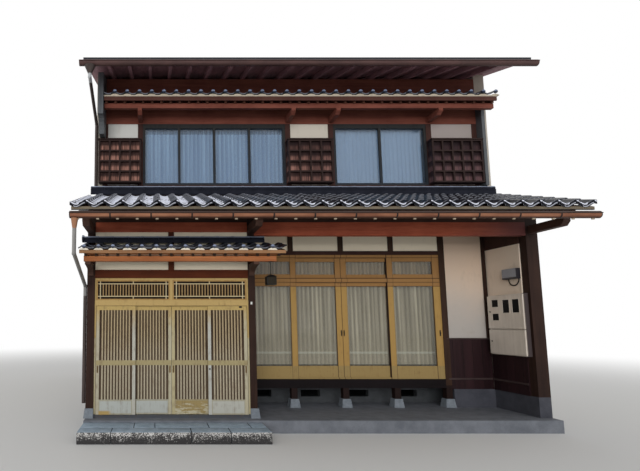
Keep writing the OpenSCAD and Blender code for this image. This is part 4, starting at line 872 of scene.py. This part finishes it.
# %% [markdown]
# ## Roof tiles
# The lower roof, the door canopy and the small pent roof above the windows carry S-shaped clay
# tiles. A tile is a shallow trough with a roll at its right side that laps over its neighbour's
# rim, and each course rests on the heads of the course below. One tile is drawn as a closed
# profile across the roof and pulled up the slope, its front edge is bevelled so that it catches
# the light as glaze does, and rows and courses are arrays of it. A sheet with a wavy texture
# would be lighter, but the laps and the shadow under every tile's edge would be lost.

# %% One roof tile
TILE_WAVE = [(0.0, 0.55), (0.09, 0.34), (0.21, 0.12), (0.35, 0.0), (0.5, 0.07), (0.63, 0.33), (0.74, 0.68),
             (0.84, 0.93), (0.93, 1.0), (1.02, 0.86)]
TILES_END = -3.402
# x is the left verge, eave the boards' (y, z) there, height that of a tile's wave, lip what hangs in front.
LOWER = dict(x=-3.9225, pitch=0.26828, count=29, eave=(-5.41, 3.46), slope=0.34, exposure=0.22333, courses=9,
             height=0.058, thick=0.016, stop=TILES_END, lip=0.046, reach=0.016)
CANOPY = dict(x=-3.9945, pitch=0.2299, count=15, eave=(-4.86, 2.895), slope=0.28, exposure=0.25, courses=2,
              height=0.046, thick=0.014, stop=-4.362, lip=0.006, reach=0.004)
PENT = dict(x=-3.6125, pitch=0.22828, count=32, eave=(-3.9, 5.955), slope=0.3, exposure=0.25, courses=2,
            height=0.06, thick=0.014, stop=TILES_END, lip=0.006, reach=0.004)


def tile(name, corner, pitch, height, thick, run):
    """A tile from its lower front left corner, with the outlines of its under and upper side."""
    x, y, z = corner
    under = [(x + u * pitch, y, z + h * height) for u, h in TILE_WAVE]
    over = [(px, py, pz + thick) for px, py, pz in reversed(under)]
    piece = drawn(name, under + over, run)
    edit()
    pick(lambda middle, way: abs(middle.y - y) < 1e-4 and abs(way.y) < 0.1, "EDGE")
    bpy.ops.mesh.bevel(offset=0.003, segments=1, affect="EDGES")
    done()
    return piece, under, over


def tiled(name, x, pitch, count, eave, slope, exposure, courses, height, thick, stop, lip, reach):
    """A whole roof of tiles; the eave course has a lip that hangs from its front edge."""
    lap = 0.25 * exposure
    lift = thick * 1.25
    run = (0, exposure + lap, (exposure + lap) * slope - lift)
    corner = (x, eave[0], eave[1] + 0.012 + lift)
    front, under, over = tile(name, corner, pitch, height, thick, run)
    low = [(px, py - reach, pz - lip) for px, py, pz in under]
    edge = drawn("lip", low + [(px, py - reach, pz - 0.004) for px, py, pz in over], (0, 0.016, 0))
    first = row(join(name, [front, edge]), count, (pitch, 0, 0))
    other = row(tile(name + "_next", corner, pitch, height, thick, run)[0], count, (pitch, 0, 0))
    other.data.transform(Matrix.Translation((0, exposure, exposure * slope)))
    piece = join(name, [first, row(other, courses - 1, (0, exposure, exposure * slope))])
    trim(piece, ((0, stop, 0), (0, 1, 0)))
    return smooth(piece, 35)


def trim(piece, *planes):
    """Cuts a piece off at planes (spot, outward), on the side outward points to, and closes the cuts."""
    take(piece)
    edit()
    for spot, outward in planes:
        everything()
        bpy.ops.mesh.bisect(plane_co=spot, plane_no=outward, use_fill=True, clear_outer=True)
    done()


keep(tiled("lower_tiles", **LOWER), tile_glaze("lower roof glaze", LOWER, 0.28, 0.0, 0.85, lip_top=3.503),
     stands_for=["lower_roof"])

# %% [markdown]
# The canopy over the doors and the pent roof are only two courses deep. Their eave tiles end in a
# round disc under each roll, pressed in one mould, and the gap under each disc is filled with a
# little hill of cream mortar so that no bird nests there. The disc is a short cylinder whose face
# is inset and pushed back, which leaves a raised rim. Under the canopy's tiles, a short board
# closes the gap between each two rafter ends.

# %% Canopy and pent tiles with eave discs
def eave_discs(name, x, y, z, radius, pitch, count):
    disc = drum(name, (x, y, z), radius, 0.024, FACING_FRONT, 20)
    edit()
    pick(lambda middle, way: way.y < -0.9)
    sink(radius * 0.22, (0, 0.006, 0))
    sink(radius * 0.35, (0, -0.004, 0))
    done()
    return row(disc, count, (pitch, 0, 0))


def mortar_hills(name, x, y, z, height, pitch, count, width=0.15, deep=0.06):
    arc = [math.pi * i / 8 for i in range(9)]
    hill = drawn(name, [(x + width / 2 * math.cos(a), y, z + height * math.sin(a)) for a in arc], (0, deep, 0))
    return smooth(row(hill, count, (pitch, 0, 0)), 50)


CANOPY_DISC, CANOPY_DISCS = -3.788, 14
canopy_tiles = tiled("canopy_tiles", **CANOPY)
trim(canopy_tiles, ((-3.8805, 0, 0), (-1, 0, 0)), ((-0.5705, 0, 0), (1, 0, 0)))
canopy_discs = eave_discs("canopy_discs", CANOPY_DISC, -4.868, 2.953, 0.031, CANOPY["pitch"], CANOPY_DISCS)
keep(canopy_discs, disc_look("canopy disc glaze", 2.954), stands_for=["canopy_roof"])
keep(canopy_tiles, tile_glaze("canopy glaze", CANOPY, 0.4, 0.05, 0.15),
     stands_for=["canopy_roof"])
hills = mortar_hills("canopy_mortar", CANOPY_DISC, -4.872, 2.8965, 0.034, CANOPY["pitch"], CANOPY_DISCS)
keep(hills, bright_mortar)
RAFTER_PITCH = 0.172
infill = bars("canopy_infill", [((-3.7512, -4.779, 2.8357), (-3.6232, -4.766, 2.8965))], 0.001)
keep(row(infill, 18, (RAFTER_PITCH, 0, 0)), infill_wood)

x, pitch, count = PENT["x"], PENT["pitch"], PENT["count"]
first_roll = x + 0.9 * pitch
pent_tiles = tiled("pent_tiles", **PENT)
pent_discs = eave_discs("pent_discs", first_roll, -3.908, 6.03, 0.034, pitch, count)
keep(pent_tiles, tile_glaze("pent glaze", PENT, 0.45, 0.1, 0.2), stands_for=["pent_roof"])
keep(pent_discs, disc_look("pent disc glaze", 6.032), stands_for=["pent_roof"])
bed = drawn("pent_mortar_bed", [(x, -3.899, 5.941), (x, -3.899, 5.9655), (x, -3.8, 5.9952), (x, -3.8, 5.9707)],
            (7.305, 0, 0))
hills = mortar_hills("pent_hills", first_roll, -3.8985, 5.965, 0.026, pitch, count)
keep(join("pent_mortar", [bed, hills]), mortar)

# %% [markdown]
# Where a roof meets the wall, flat ridge tiles are laid in two courses on a bed of mortar and
# capped by half-round tiles. The flat ones are short bars with soft edges; the caps are half
# circles pulled along the wall, each with a raised collar over the next one's end.

# %% Ridge courses
def ridge(name, x, wall, foot, slope, deep, high, length=0.262, end=()):
    """Ridge tiles from x[0] to x[1] against a wall; foot is the roof's height at the wall."""
    count = int((x[1] - x[0]) / length)
    step = (x[1] - x[0]) / count
    bed, bed_front = foot + high * 0.3, wall - deep + 0.008
    parts = [drawn(name + "_bed", [(x[0], wall, foot), (x[0], wall, bed), (x[0], bed_front, bed),
                                   (x[0], bed_front, foot - slope * deep)], (x[1] - x[0], 0, 0))]
    for k, (low, top, back) in enumerate(((0.3, 0.47, 0.0), (0.49, 0.66, 0.012))):
        slab = bars(f"{name}_flat_{k}", [((x[0], wall - deep + back, foot + high * low),
                                          (x[0] + step - 0.003, wall, foot + high * top))], 0.004)
        parts.append(row(slab, count, (step, 0, 0)))
    arc = [math.pi * i / 9 for i in range(10)]
    for k, (start, size, grow) in enumerate(((0.0, step - 0.001, 0.0), (step - 0.045, 0.044, 0.004))):
        outline = [(x[0] + start, wall - deep * 0.5 + (deep * 0.36 + grow) * math.cos(a),
                    foot + high * 0.66 + (high * 0.34 + grow) * math.sin(a)) for a in arc]
        parts.append(row(drawn(f"{name}_cap_{k}", outline, (size, 0, 0)), count, (step, 0, 0)))
    return smooth(join(name, [*parts, *end]), 35)


def end_disc(spot, radius):
    """The round closing tile at a ridge's left end: a disc with a raised ring."""
    disc = drum("end_disc", spot, radius, 0.03, FACING_SIDE, 28)
    edit()
    pick(lambda middle, way: way.x < -0.9)
    sink(radius * 0.24, (0.012, 0, 0))
    done()
    return disc


lower_ridge = ridge("lower_ridge", (-3.8825, 3.8175), -3.4005, 4.2234, LOWER["slope"], 0.15, 0.13)
canopy_ridge = ridge("canopy_ridge", (-3.8605, -0.826), -4.3605, 3.115, CANOPY["slope"], 0.11, 0.085, 0.24,
                     [end_disc((-3.868, -4.43, 3.155), 0.062)])
keep(lower_ridge, ridge_look("lower ridge glaze", 4.326), stands_for=["ridge_courses"])
keep(canopy_ridge, ridge_look("canopy ridge glaze", 3.176), stands_for=["ridge_courses"])

# %% [markdown]
# ## The sheet roof and the gutters
# The high roof is covered with sheet that is folded into standing seams, one every 455 mm. Each
# seam is a thin upright rib from eave to ridge. The gutters are hung from straps, and their front
# rims are rolled into a bead, which is what shines along the whole length in daylight. The hooks
# that carry the lower gutter end in small pale blocks under it, one at each rafter.

# %% Seams, gutter trim and hook ends
def seams(name, step):
    """Ribs on both slopes, from the eave (y, z) up to the ridge."""
    foot, slope, ribs = 6.441, 0.3, []
    for side, eave, top in ((-1, -4.28, 0.35), (1, 5.24, 0.61)):
        profile = [(-3.9, 0.0), (-3.9, 0.022), (-3.892, 0.026), (-3.884, 0.022), (-3.884, 0.0)]
        rib = drawn(f"{name}_{side}", [(x, eave, foot + z) for x, z in profile],
                    (0, top - eave, slope * abs(top - eave)))
        ribs.append(row(rib, int(7.8 / step) + 1, (step, 0, 0)))
    return join(name, ribs)


def gutter_trim(name, x, middle, rim, lengths, front=-1):
    """The rolled front bead and the straps of a gutter of equal lengths."""
    bead_at = ((x[0] + x[1]) / 2, middle + front * 0.0605, rim - 0.004)
    bead = drum(name, bead_at, 0.0075, x[1] - x[0], FACING_SIDE, 10)
    edit()
    pick(lambda spot, way: abs(way.x) > 0.9)
    bpy.ops.mesh.inset(thickness=0.002, depth=-0.002)
    done()
    step = (x[1] - x[0]) / lengths
    arc = [math.pi * i / 10 for i in range(11)]

    def around(r):
        bowl = [(x[0], middle + r * math.cos(a), rim - 0.02 - r * math.sin(a)) for a in arc]
        return [(x[0], middle + r, rim - 0.002), *bowl, (x[0], middle - r, rim - 0.002)]

    strap = drawn(f"{name}_strap", around(0.0556) + around(0.0586)[::-1], (0.035, 0, 0))
    strap.data.transform(Matrix.Translation((step - 0.0175, 0, 0)))
    return smooth(join(name, [bead, row(strap, lengths - 1, (step, 0, 0))]))


keep(seams("roof_seams", 0.455), sheet_roof)
keep(gutter_trim("lower_gutter_trim", (GUTTER_LEFT, GUTTER_RIGHT), -5.455, 3.345, GUTTER_LENGTHS), copper)
hook_end = bars("gutter_hook_ends", [((-3.812, -5.466, 3.252), (-3.77, -5.444, 3.279))], 0.004)
keep(row(hook_end, 27, (0.29, 0, 0)), pale_metal)
for name, middle, front in (("front_gutter_trim", -4.445, -1), ("back_gutter_trim", 5.405, 1)):
    keep(gutter_trim(name, (-3.9825, 4.0175), middle, 6.29, 6, front), dark_gutter)

# %% [markdown]
# ## Curtains
# Pleated net hangs behind the panes of both storeys. Each curtain is cut wider than its opening
# and gathered, so its cross-section is a wave whose length is the cloth's width. The wave is
# tight under the rail and opens a little towards the hem. The mesh is one sheet of points, moved
# in code, because the folds are regular and a simulation would only blur them.

# %% Curtain cloth and curtain sheets
CURTAIN_PLANE = -3.25


def cloth(name, shade, light, low, high, band=None, hem=None, valance=None):
    """Net from light folds to shade, low tone at the foot; band, hem and valance are heights."""
    finish = Finish(name, Alpha=0.97, Roughness=0.85)
    across, deep, height = finish.axes("XYZ")
    weave = finish.noise(420, 2)
    fold = (deep - (CURTAIN_PLANE - 0.012)).between(0.0, 0.024)
    broad = finish.noise(15, 3, (1, 0.1, 0.02), shift=2.5)
    drift = finish.noise(0.9, 2, shift=9.0)
    layers = [(shade, fold * 0.75 + (broad * 1.4 + weave * 0.1).between(0.5, 0.9) * 0.5),
              (low, (height * -1.0).between(-high, -high + 0.9) * 0.5),
              (shade, (across * 0.12 + drift * 0.5).between(0.1, 0.9) * 0.3)]
    if band:
        layers.append((scaled(light, 1.3), height.inside(*band) * 0.45))
    if hem:
        layers.append((scaled(shade, 0.2), height.below(hem)))
    if valance:
        ripple = finish.noise(70, 2, (1, 0.1, 0.01), shift=5.0).between(0.42, 0.6)
        layers.append((scaled(shade, 0.35), height.above(valance) * (0.35 + ripple * 0.5)))
    return finish.paint(finish.layered(light, *layers), weave * 0.1 + 0.8, weave + fold, 0.0006)


def curtain(name, x, z, pleats, finish, stands_for, seed):
    """A gathered curtain between x[0] and x[1], from the hem z[0] up to z[1]."""
    luck = random.Random(seed)
    width, steps, levels = x[1] - x[0], pleats * 8, 10
    phase = [luck.uniform(-0.5, 0.5) for _ in range(pleats + 1)]
    swing = [luck.uniform(0.65, 1.0) for _ in range(pleats + 1)]
    mesh = bpy.data.meshes.new(name)
    shape = bmesh.new()
    grid = []
    for level in range(levels + 1):
        v = level / levels
        line = []
        for i in range(steps + 1):
            u = i / steps
            k = min(int(u * pleats), pleats - 1)
            blend = u * pleats - k
            turn = phase[k] * (1 - blend) + phase[k + 1] * blend
            reach = 0.0085 * (swing[k] * (1 - blend) + swing[k + 1] * blend) * (1.0 - 0.25 * v)
            angle = 2 * math.pi * pleats * u + turn * (1 - v)
            line.append(shape.verts.new((x[0] + width * u, CURTAIN_PLANE + reach * math.sin(angle),
                                         z[0] + (z[1] - z[0]) * v)))
        grid.append(line)
    for low, high in zip(grid, grid[1:]):
        for i in range(steps):
            shape.faces.new((low[i], low[i + 1], high[i + 1], high[i]))
    middle = grid[levels // 2]
    shape.to_mesh(mesh)
    shape.free()
    piece = bpy.data.objects.new(name, mesh)
    bpy.context.scene.collection.objects.link(piece)
    smooth(piece, 60)
    keep(piece, finish, stands_for=[stands_for])


net = cloth("cream net", (0.27, 0.235, 0.15), (0.95, 0.87, 0.64), (0.64, 0.6, 0.47), 1.9, (1.17, 1.21), 0.97)
light_net = cloth("upper light net", (0.28, 0.21, 0.115), (0.66, 0.52, 0.3), (0.45, 0.36, 0.21), 3.0)
# The left net's pale blue is partly its own colour and partly a painted reflection of the sky in the glass.
blue_net = cloth("pale blue net", (0.2, 0.34, 0.56), (0.44, 0.68, 0.96), (0.27, 0.43, 0.68), 5.2, valance=5.475)
# Flat pale blue, painted as the sky's reflection in the glass in front of the right curtain.
sky_reflection_net = cloth("blue net with painted sky reflection", (0.34, 0.5, 0.72), (0.4, 0.58, 0.82), (0.36, 0.52, 0.74), 5.2)
SASH_PITCH = 0.9075
for k in range(4):
    span = (-0.9345 + SASH_PITCH * k, -0.043 + SASH_PITCH * k)
    for name, z, pleats, finish, seed in (("sash_curtain", (0.802, 2.5195), 11, net, 10),
                                          ("light_curtain", (2.607, 3.0465), 12, light_net, 20)):
        curtain(f"{name}_{k + 1}", span, z, pleats, finish, "lower_curtains",
                seed + k)
for k, (span, pleats, finish) in enumerate((((-2.8655, -0.1455), 34, blue_net),
                                            ((0.8545, 2.6095), 22, sky_reflection_net))):
    curtain(f"upper_curtain_{k + 1}", span, (4.43, 5.5895), pleats, finish, "upper_curtains",
            30 + k)

# %% [markdown]
# ## The lantern
# Under the end of the canopy hangs a square lantern. Its iron frame is in the construction; here
# each side gets a frosted pane, inset and pushed back a little, and a thin crossing bar.

# %% Lantern panes and bars
low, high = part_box("lantern")
centre = ((low.x + high.x) / 2, (low.y + high.y) / 2)
foot, head = low.z + 0.015, low.z + 0.139


def at_side(dx, dy, near, far, half):
    """The corners of a plate on the lantern's side (dx, dy), from near to far out and half its width."""
    a = (centre[0] + dx * near - abs(dy) * half, centre[1] + dy * near - abs(dx) * half)
    b = (centre[0] + dx * far + abs(dy) * half, centre[1] + dy * far + abs(dx) * half)
    return (min(a[0], b[0]), min(a[1], b[1]), foot), (max(a[0], b[0]), max(a[1], b[1]), head)


panes, crossings = [], []
for dx, dy in ((1, 0), (-1, 0), (0, 1), (0, -1)):
    pane = at_side(dx, dy, 0.0632, 0.0662, 0.0585)
    panes.append(dished("lantern_pane", *pane, 0.004, (-dx * 0.001, -dy * 0.001, 0), (dx, dy, 0)))
    crossings.append(bars("lantern_bar", [at_side(dx, dy, 0.0664, 0.0704, 0.004)], 0.001))
keep(join("lantern_panes", panes), frosted_pane)
keep(join("lantern_bars", crossings), black_iron)

# %% [markdown]
# ## The sliding doors
# Each leaf is a metal lattice door with a solid foot panel, a finger pull sunk in one stile, and
# a rail at hand height. The foot panel is a thin sheet with rounded upper corners, drawn as an
# outline and given a few millimetres. The pulls are dished: a block whose front is inset and
# pushed in. Locks are small drums with a keyhole ring.

# %% Door leaf furniture
LEAF_WIDTH, STILE = 0.653375, 0.058
TO_FRONT, TO_LEFT = (0, -1, 0), (-1, 0, 0)
# Left edge, front face and the side of the finger pull, for each leaf.
leaves = {1: (-3.6415, -4.339, -1), 2: (-3.040125, -4.297, 1),
          3: (-2.38075, -4.297, -1), 4: (-1.779375, -4.339, 1)}


def foot_panel(name, left, right, y, low, high, round_off):
    """A thin panel whose upper corners are rounded off."""
    turns = [math.pi / 2 * i / 6 for i in range(7)]
    x, z = right - round_off, high - round_off
    outline = [(left, y, low), (right, y, low)]
    outline += [(x + round_off * math.cos(a), y, z + round_off * math.sin(a)) for a in turns]
    x = left + round_off
    outline += [(x - round_off * math.sin(a), y, z + round_off * math.cos(a)) for a in turns]
    return drawn(name, outline, (0, 0.0017, 0))


def lock(name, spot, radius, way, body):
    """A round lock plate with a keyhole ring, facing along way."""
    plate = drum(name, spot, radius, 0.005, FACING_FRONT if way == TO_FRONT else FACING_SIDE, 18)
    edit()
    pick(lambda middle, normal: normal.dot(Vector(way)) > 0.9)
    sink(radius * 0.35, Vector(way) * -0.002)
    sink(radius * 0.25, Vector(way) * 0.003)
    done()
    keep(smooth(plate), black_iron, body)


for k, (x, y, side) in leaves.items():
    panel = foot_panel(f"leaf_{k}_foot_panel", x + STILE, x + LEAF_WIDTH - STILE, y + 0.0003,
                       0.262, 0.478, 0.045)
    keep(panel, leaf_looks[f"door_leaf_{k}"], f"leaf_{k}")
    middle = x + 0.026 if side < 0 else x + LEAF_WIDTH - 0.026
    pull_block = dished(f"leaf_{k}_pull", (middle - 0.0135, y - 0.0015, 0.925),
                        (middle + 0.0135, y + 0.0035, 1.043), 0.004, (0, 0.0035, 0), TO_FRONT)
    keep(pull_block, brass, f"leaf_{k}")
lock("door_lock", (-1.755, -4.3412, 0.989), 0.014, TO_FRONT, "leaf_4")
bell = dished("door_bell", (-1.062, -4.374, 2.055), (-1.034, -4.3602, 2.1), 0.006, (0, 0.002, 0), TO_FRONT)
keep(bell, bell_cover)
latch = bars("door_latch", [((-1.252, -4.3455, 1.998), (-1.204, -4.3392, 2.026)),
                            ((-1.24, -4.354, 2.004), (-1.216, -4.3457, 2.02))], 0.002)
keep(latch, black_iron, "leaf_4")

# %% [markdown]
# ## The window front
# The four recessed sashes carry small black catches where they meet. The dark boarding beside
# them is held by a cap rail and a base rail, and a thin post covers the corner where the two walls
# of the recess meet. Under the raised room, a length of concrete closes the wall with the vents as
# far as the party wall. All are bars with bevelled edges.

# %% Window catches, wainscot rails and corner strip
for k, (x, y) in enumerate(((0.846, -3.348), (0.898, -3.348), (2.682, -3.386))):
    catch = bars(f"sash_catch_{k + 1}", [((x - 0.009, y - 0.01, 1.505), (x + 0.009, y - 0.0004, 1.615)),
                                         ((x - 0.006, y - 0.022, 1.545), (x + 0.006, y - 0.01, 1.575))], 0.002)
    keep(catch, black_iron)
rails = bars("wainscot_rails", [((2.785, -3.402, 0.7), (3.6165, -3.3885, 0.735)),
                                ((2.785, -3.402, 1.442), (3.6165, -3.3885, 1.469)),
                                ((3.605, -4.205, 0.7), (3.617, -3.4035, 0.735))], 0.004)
keep(rails, dull_wood)
wall_end = bars("vent_wall_end", [((2.728, -2.8295, 0.2005), (3.6365, -2.7105, 0.5595))], 0.002)
keep(wall_end, dark_concrete)
strip = bars("recess_corner_strip", [((3.5485, -3.404, 1.4705), (3.6165, -3.3805, 3.438))], 0.004)
keep(strip, post_wood)

# %% [markdown]
# ## The meter cabinet
# Its covers are enamelled sheet. The upper one has four small windows, each with a raised rim and
# a dark pane, and both have a round lock at their free edge. A stiff conduit bends down out of the
# small box above and back up into it; a profile spun through half a turn makes the bend.

# %% Cabinet windows, locks and conduit
windows = [((-3.769, -3.614), (2.035, 2.165)), ((-3.769, -3.614), (1.795, 1.915)),
           ((-4.024, -3.874), (1.925, 2.155)), ((-4.244, -4.094), (1.925, 2.155))]
rims, panes = [], []
for k, ((y0, y1), (z0, z1)) in enumerate(windows):
    for a, b, c, d in ((y0 - 0.008, y0 + 0.001, z0 - 0.008, z1 + 0.008),
                       (y1 - 0.001, y1 + 0.008, z0 - 0.008, z1 + 0.008),
                       (y0 + 0.0015, y1 - 0.0015, z0 - 0.008, z0 + 0.001),
                       (y0 + 0.0015, y1 - 0.0015, z1 - 0.001, z1 + 0.008)):
        rims.append(bars(f"rim_{k}", [((3.5175, a, c), (3.5214, b, d))], 0.001))
    panes.append(dished(f"pane_{k}", (3.524, y0 + 0.0005, z0 + 0.0005), (3.529, y1 - 0.0005, z1 - 0.0005),
                        0.004, (0.001, 0, 0), TO_LEFT))
keep(join("cover_window_rims", rims), cabinet_paint, "cover_upper")
keep(join("cover_panes", panes), dark_pane, "cover_upper")
lock("upper_cover_lock", (3.5192, -3.56, 1.95), 0.013, TO_LEFT, "cover_upper")
lock("lower_cover_lock", (3.5192, -3.56, 1.42), 0.013, TO_LEFT, "cover_lower")


def conduit(name, x, y, z, bend, radius, reach):
    """A stiff conduit bent down into a half ring from (y, z); its second end reaches up into the box."""
    deselect()
    bpy.ops.mesh.primitive_circle_add(vertices=10, radius=radius, location=(x, y, z))
    piece = bpy.context.object
    piece.name = name
    bpy.ops.object.transform_apply(location=True)
    edit()
    everything()
    bpy.ops.mesh.edge_face_add()
    bpy.ops.mesh.spin(steps=16, angle=math.pi, center=(x, y - bend, z), axis=(1, 0, 0))
    pull((0, 0, reach))
    everything()
    bpy.ops.mesh.normals_make_consistent(inside=False)
    done()
    return smooth(piece, 50)


keep(conduit("meter_conduit", 3.604, -3.955, 2.5105, 0.115, 0.009, 0.002), black_iron)

# %% [markdown]
# ## The step stones
# The step before the doors is two rows of sawn slabs with open joints. They are bars of unequal
# length with worn, bevelled edges, and they stand for the one block in the construction.

# %% Step stones
slabs = []
for back, front, joints in ((-4.5605, -4.927, [-3.8025, -2.983, -2.663, -1.839, -1.198, -0.96]),
                            (-4.935, -5.23, [-3.8025, -3.302, -2.13, -1.558, -0.96])):
    slabs += [((a + 0.004, front, 0.0), (b - 0.004, back, 0.17)) for a, b in zip(joints, joints[1:])]
keep(smooth(bars("step_stones", slabs, 0.008, 2)), step_look(), stands_for=["entrance_step"])

# %% [markdown]
# ## Finishes for the construction pieces
# Every construction piece keeps its shape and gets the finish of its trade. The table below reads
# like a builder's schedule: piece by piece, which finish it has. The plain slabs that tiles,
# stones and curtains stand for are not in it.

# %% The schedule of finishes
schedule = [
    (concrete, "foundation_slab"), (plinth_look, "plinth_walls"), (dark_concrete, "vent_wall"),
    (pedestal_stone, "pedestal_stones"), (post_wood, "street_posts"), (beam_look(), "front_beams"),
    (arm_wood, "eave_arms"), (lower_eave_look(), "lower_soffit"), (copper, "lower_gutter"),
    (spout_look(), "downspouts"), (canopy_wood, "canopy_frame"), (canopy_boards, "canopy_soffit"),
    (black_iron, "lantern"), (frame_metal, "entrance_frame"), (transom_look(), "entrance_transom"),
    (lintel_wood, "entrance_lintel"), (foot_post_wood, "window_posts"), (window_beam_wood, "window_beams"),
    (window_metal, "window_frame window_sashes"), (ground_pane, "ground_glass"), (front_plaster, "ground_plaster"),
    (board_wood, "recess_wainscot"), (cabinet_look(), "meter_cabinet"), (cabinet_paint, "upper_cover lower_cover"),
    (side_plaster, "left_wall right_wall gable_walls back_piers back_panels"), (grey_metal, "back_windows"),
    (floor_wood, "ground_floor upper_floor"), (upper_post_wood, "upper_posts"), (upper_plaster, "upper_panels"),
    (frieze_wood, "upper_head_beam pent_frame"), (bronze_metal, "upper_windows"), (upper_pane, "upper_glass"),
    (shutter_look(), "shutter_boxes"), (pent_look(), "pent_soffit"), (grey_sheet, "wing_walls"),
    (eave_wood, "main_soffit"), (sheet_roof, "main_roof"), (dark_gutter, "gutter_brackets main_gutters")]
schedule += [(finish, leaf) for leaf, finish in leaf_looks.items()]
finished = [(name, finish) for finish, names in schedule for name in names.split()]
for name, finish in finished:
    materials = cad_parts[name].data.materials
    materials.clear()
    materials.append(finish)
print("finished", len(finished), "construction pieces of", len(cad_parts))

# %% [markdown]
# ## Light and ground
# Soft light from the whole sky and a weak sun from the front left give each colour about as it is
# written. The sun is a wide disc, and glass and glaze would mirror it as a white patch, so it is
# hidden from glossy rays. The ground is a plain pale plane that keeps the house's shadow near it
# and fades to the white of the background further out.

# %% Light and floor
deselect()
bpy.ops.object.light_add(type="SUN", rotation=(math.radians(84), 0, math.radians(-14)))
sun = bpy.context.object
sun.data.energy = 2.0
sun.data.angle = math.radians(40)
sun.visible_glossy = False

world = bpy.data.worlds.new("soft sky")
bpy.context.scene.world = world
world.use_nodes = True
sky = world.node_tree
rays = sky.nodes.new("ShaderNodeLightPath")
seen = rays.outputs["Is Camera Ray"]
for kind in ("Is Glossy Ray", "Is Transmission Ray"):
    either = sky.nodes.new("ShaderNodeMath")
    either.operation = "MAXIMUM"
    sky.links.new(seen, either.inputs[0])
    sky.links.new(rays.outputs[kind], either.inputs[1])
    seen = either.outputs[0]
strength = sky.nodes.new("ShaderNodeMapRange")
strength.inputs["To Min"].default_value = 0.55
strength.inputs["To Max"].default_value = 1.0
sky.links.new(seen, strength.inputs["Value"])
sky.nodes["Background"].inputs["Color"].default_value = (1, 1, 1, 1)
sky.links.new(strength.outputs[0], sky.nodes["Background"].inputs["Strength"])

bpy.ops.mesh.primitive_plane_add(size=140, location=(0, 0, -0.0005))
ground = bpy.context.object
ground.name = "ground_plane"
bpy.ops.object.transform_apply(location=True)
pale = Finish("pale ground", Roughness=0.95, Base_Color=(0.8, 0.8, 0.79, 1))
distance = pale.node("ShaderNodeVectorMath", {"operation": "LENGTH"}, {0: pale.place}, output="Value")
far = distance.between(9.0, 26.0)
to_camera = pale.node("ShaderNodeLightPath", output="Is Camera Ray")
white = pale.node("ShaderNodeEmission", inputs={"Color": (1, 1, 1, 1), "Strength": 1.0})
matt = Tone(pale, pale.shader.outputs[0])
surface = pale.node("ShaderNodeMixShader", inputs={0: far * to_camera, 1: matt, 2: white})
pale.feed(pale.tree.nodes["Material Output"].inputs["Surface"], surface)
ground.data.materials.append(pale.material)
bpy.context.scene.view_settings.view_transform = "Standard"
print("ground, sun and sky are set")
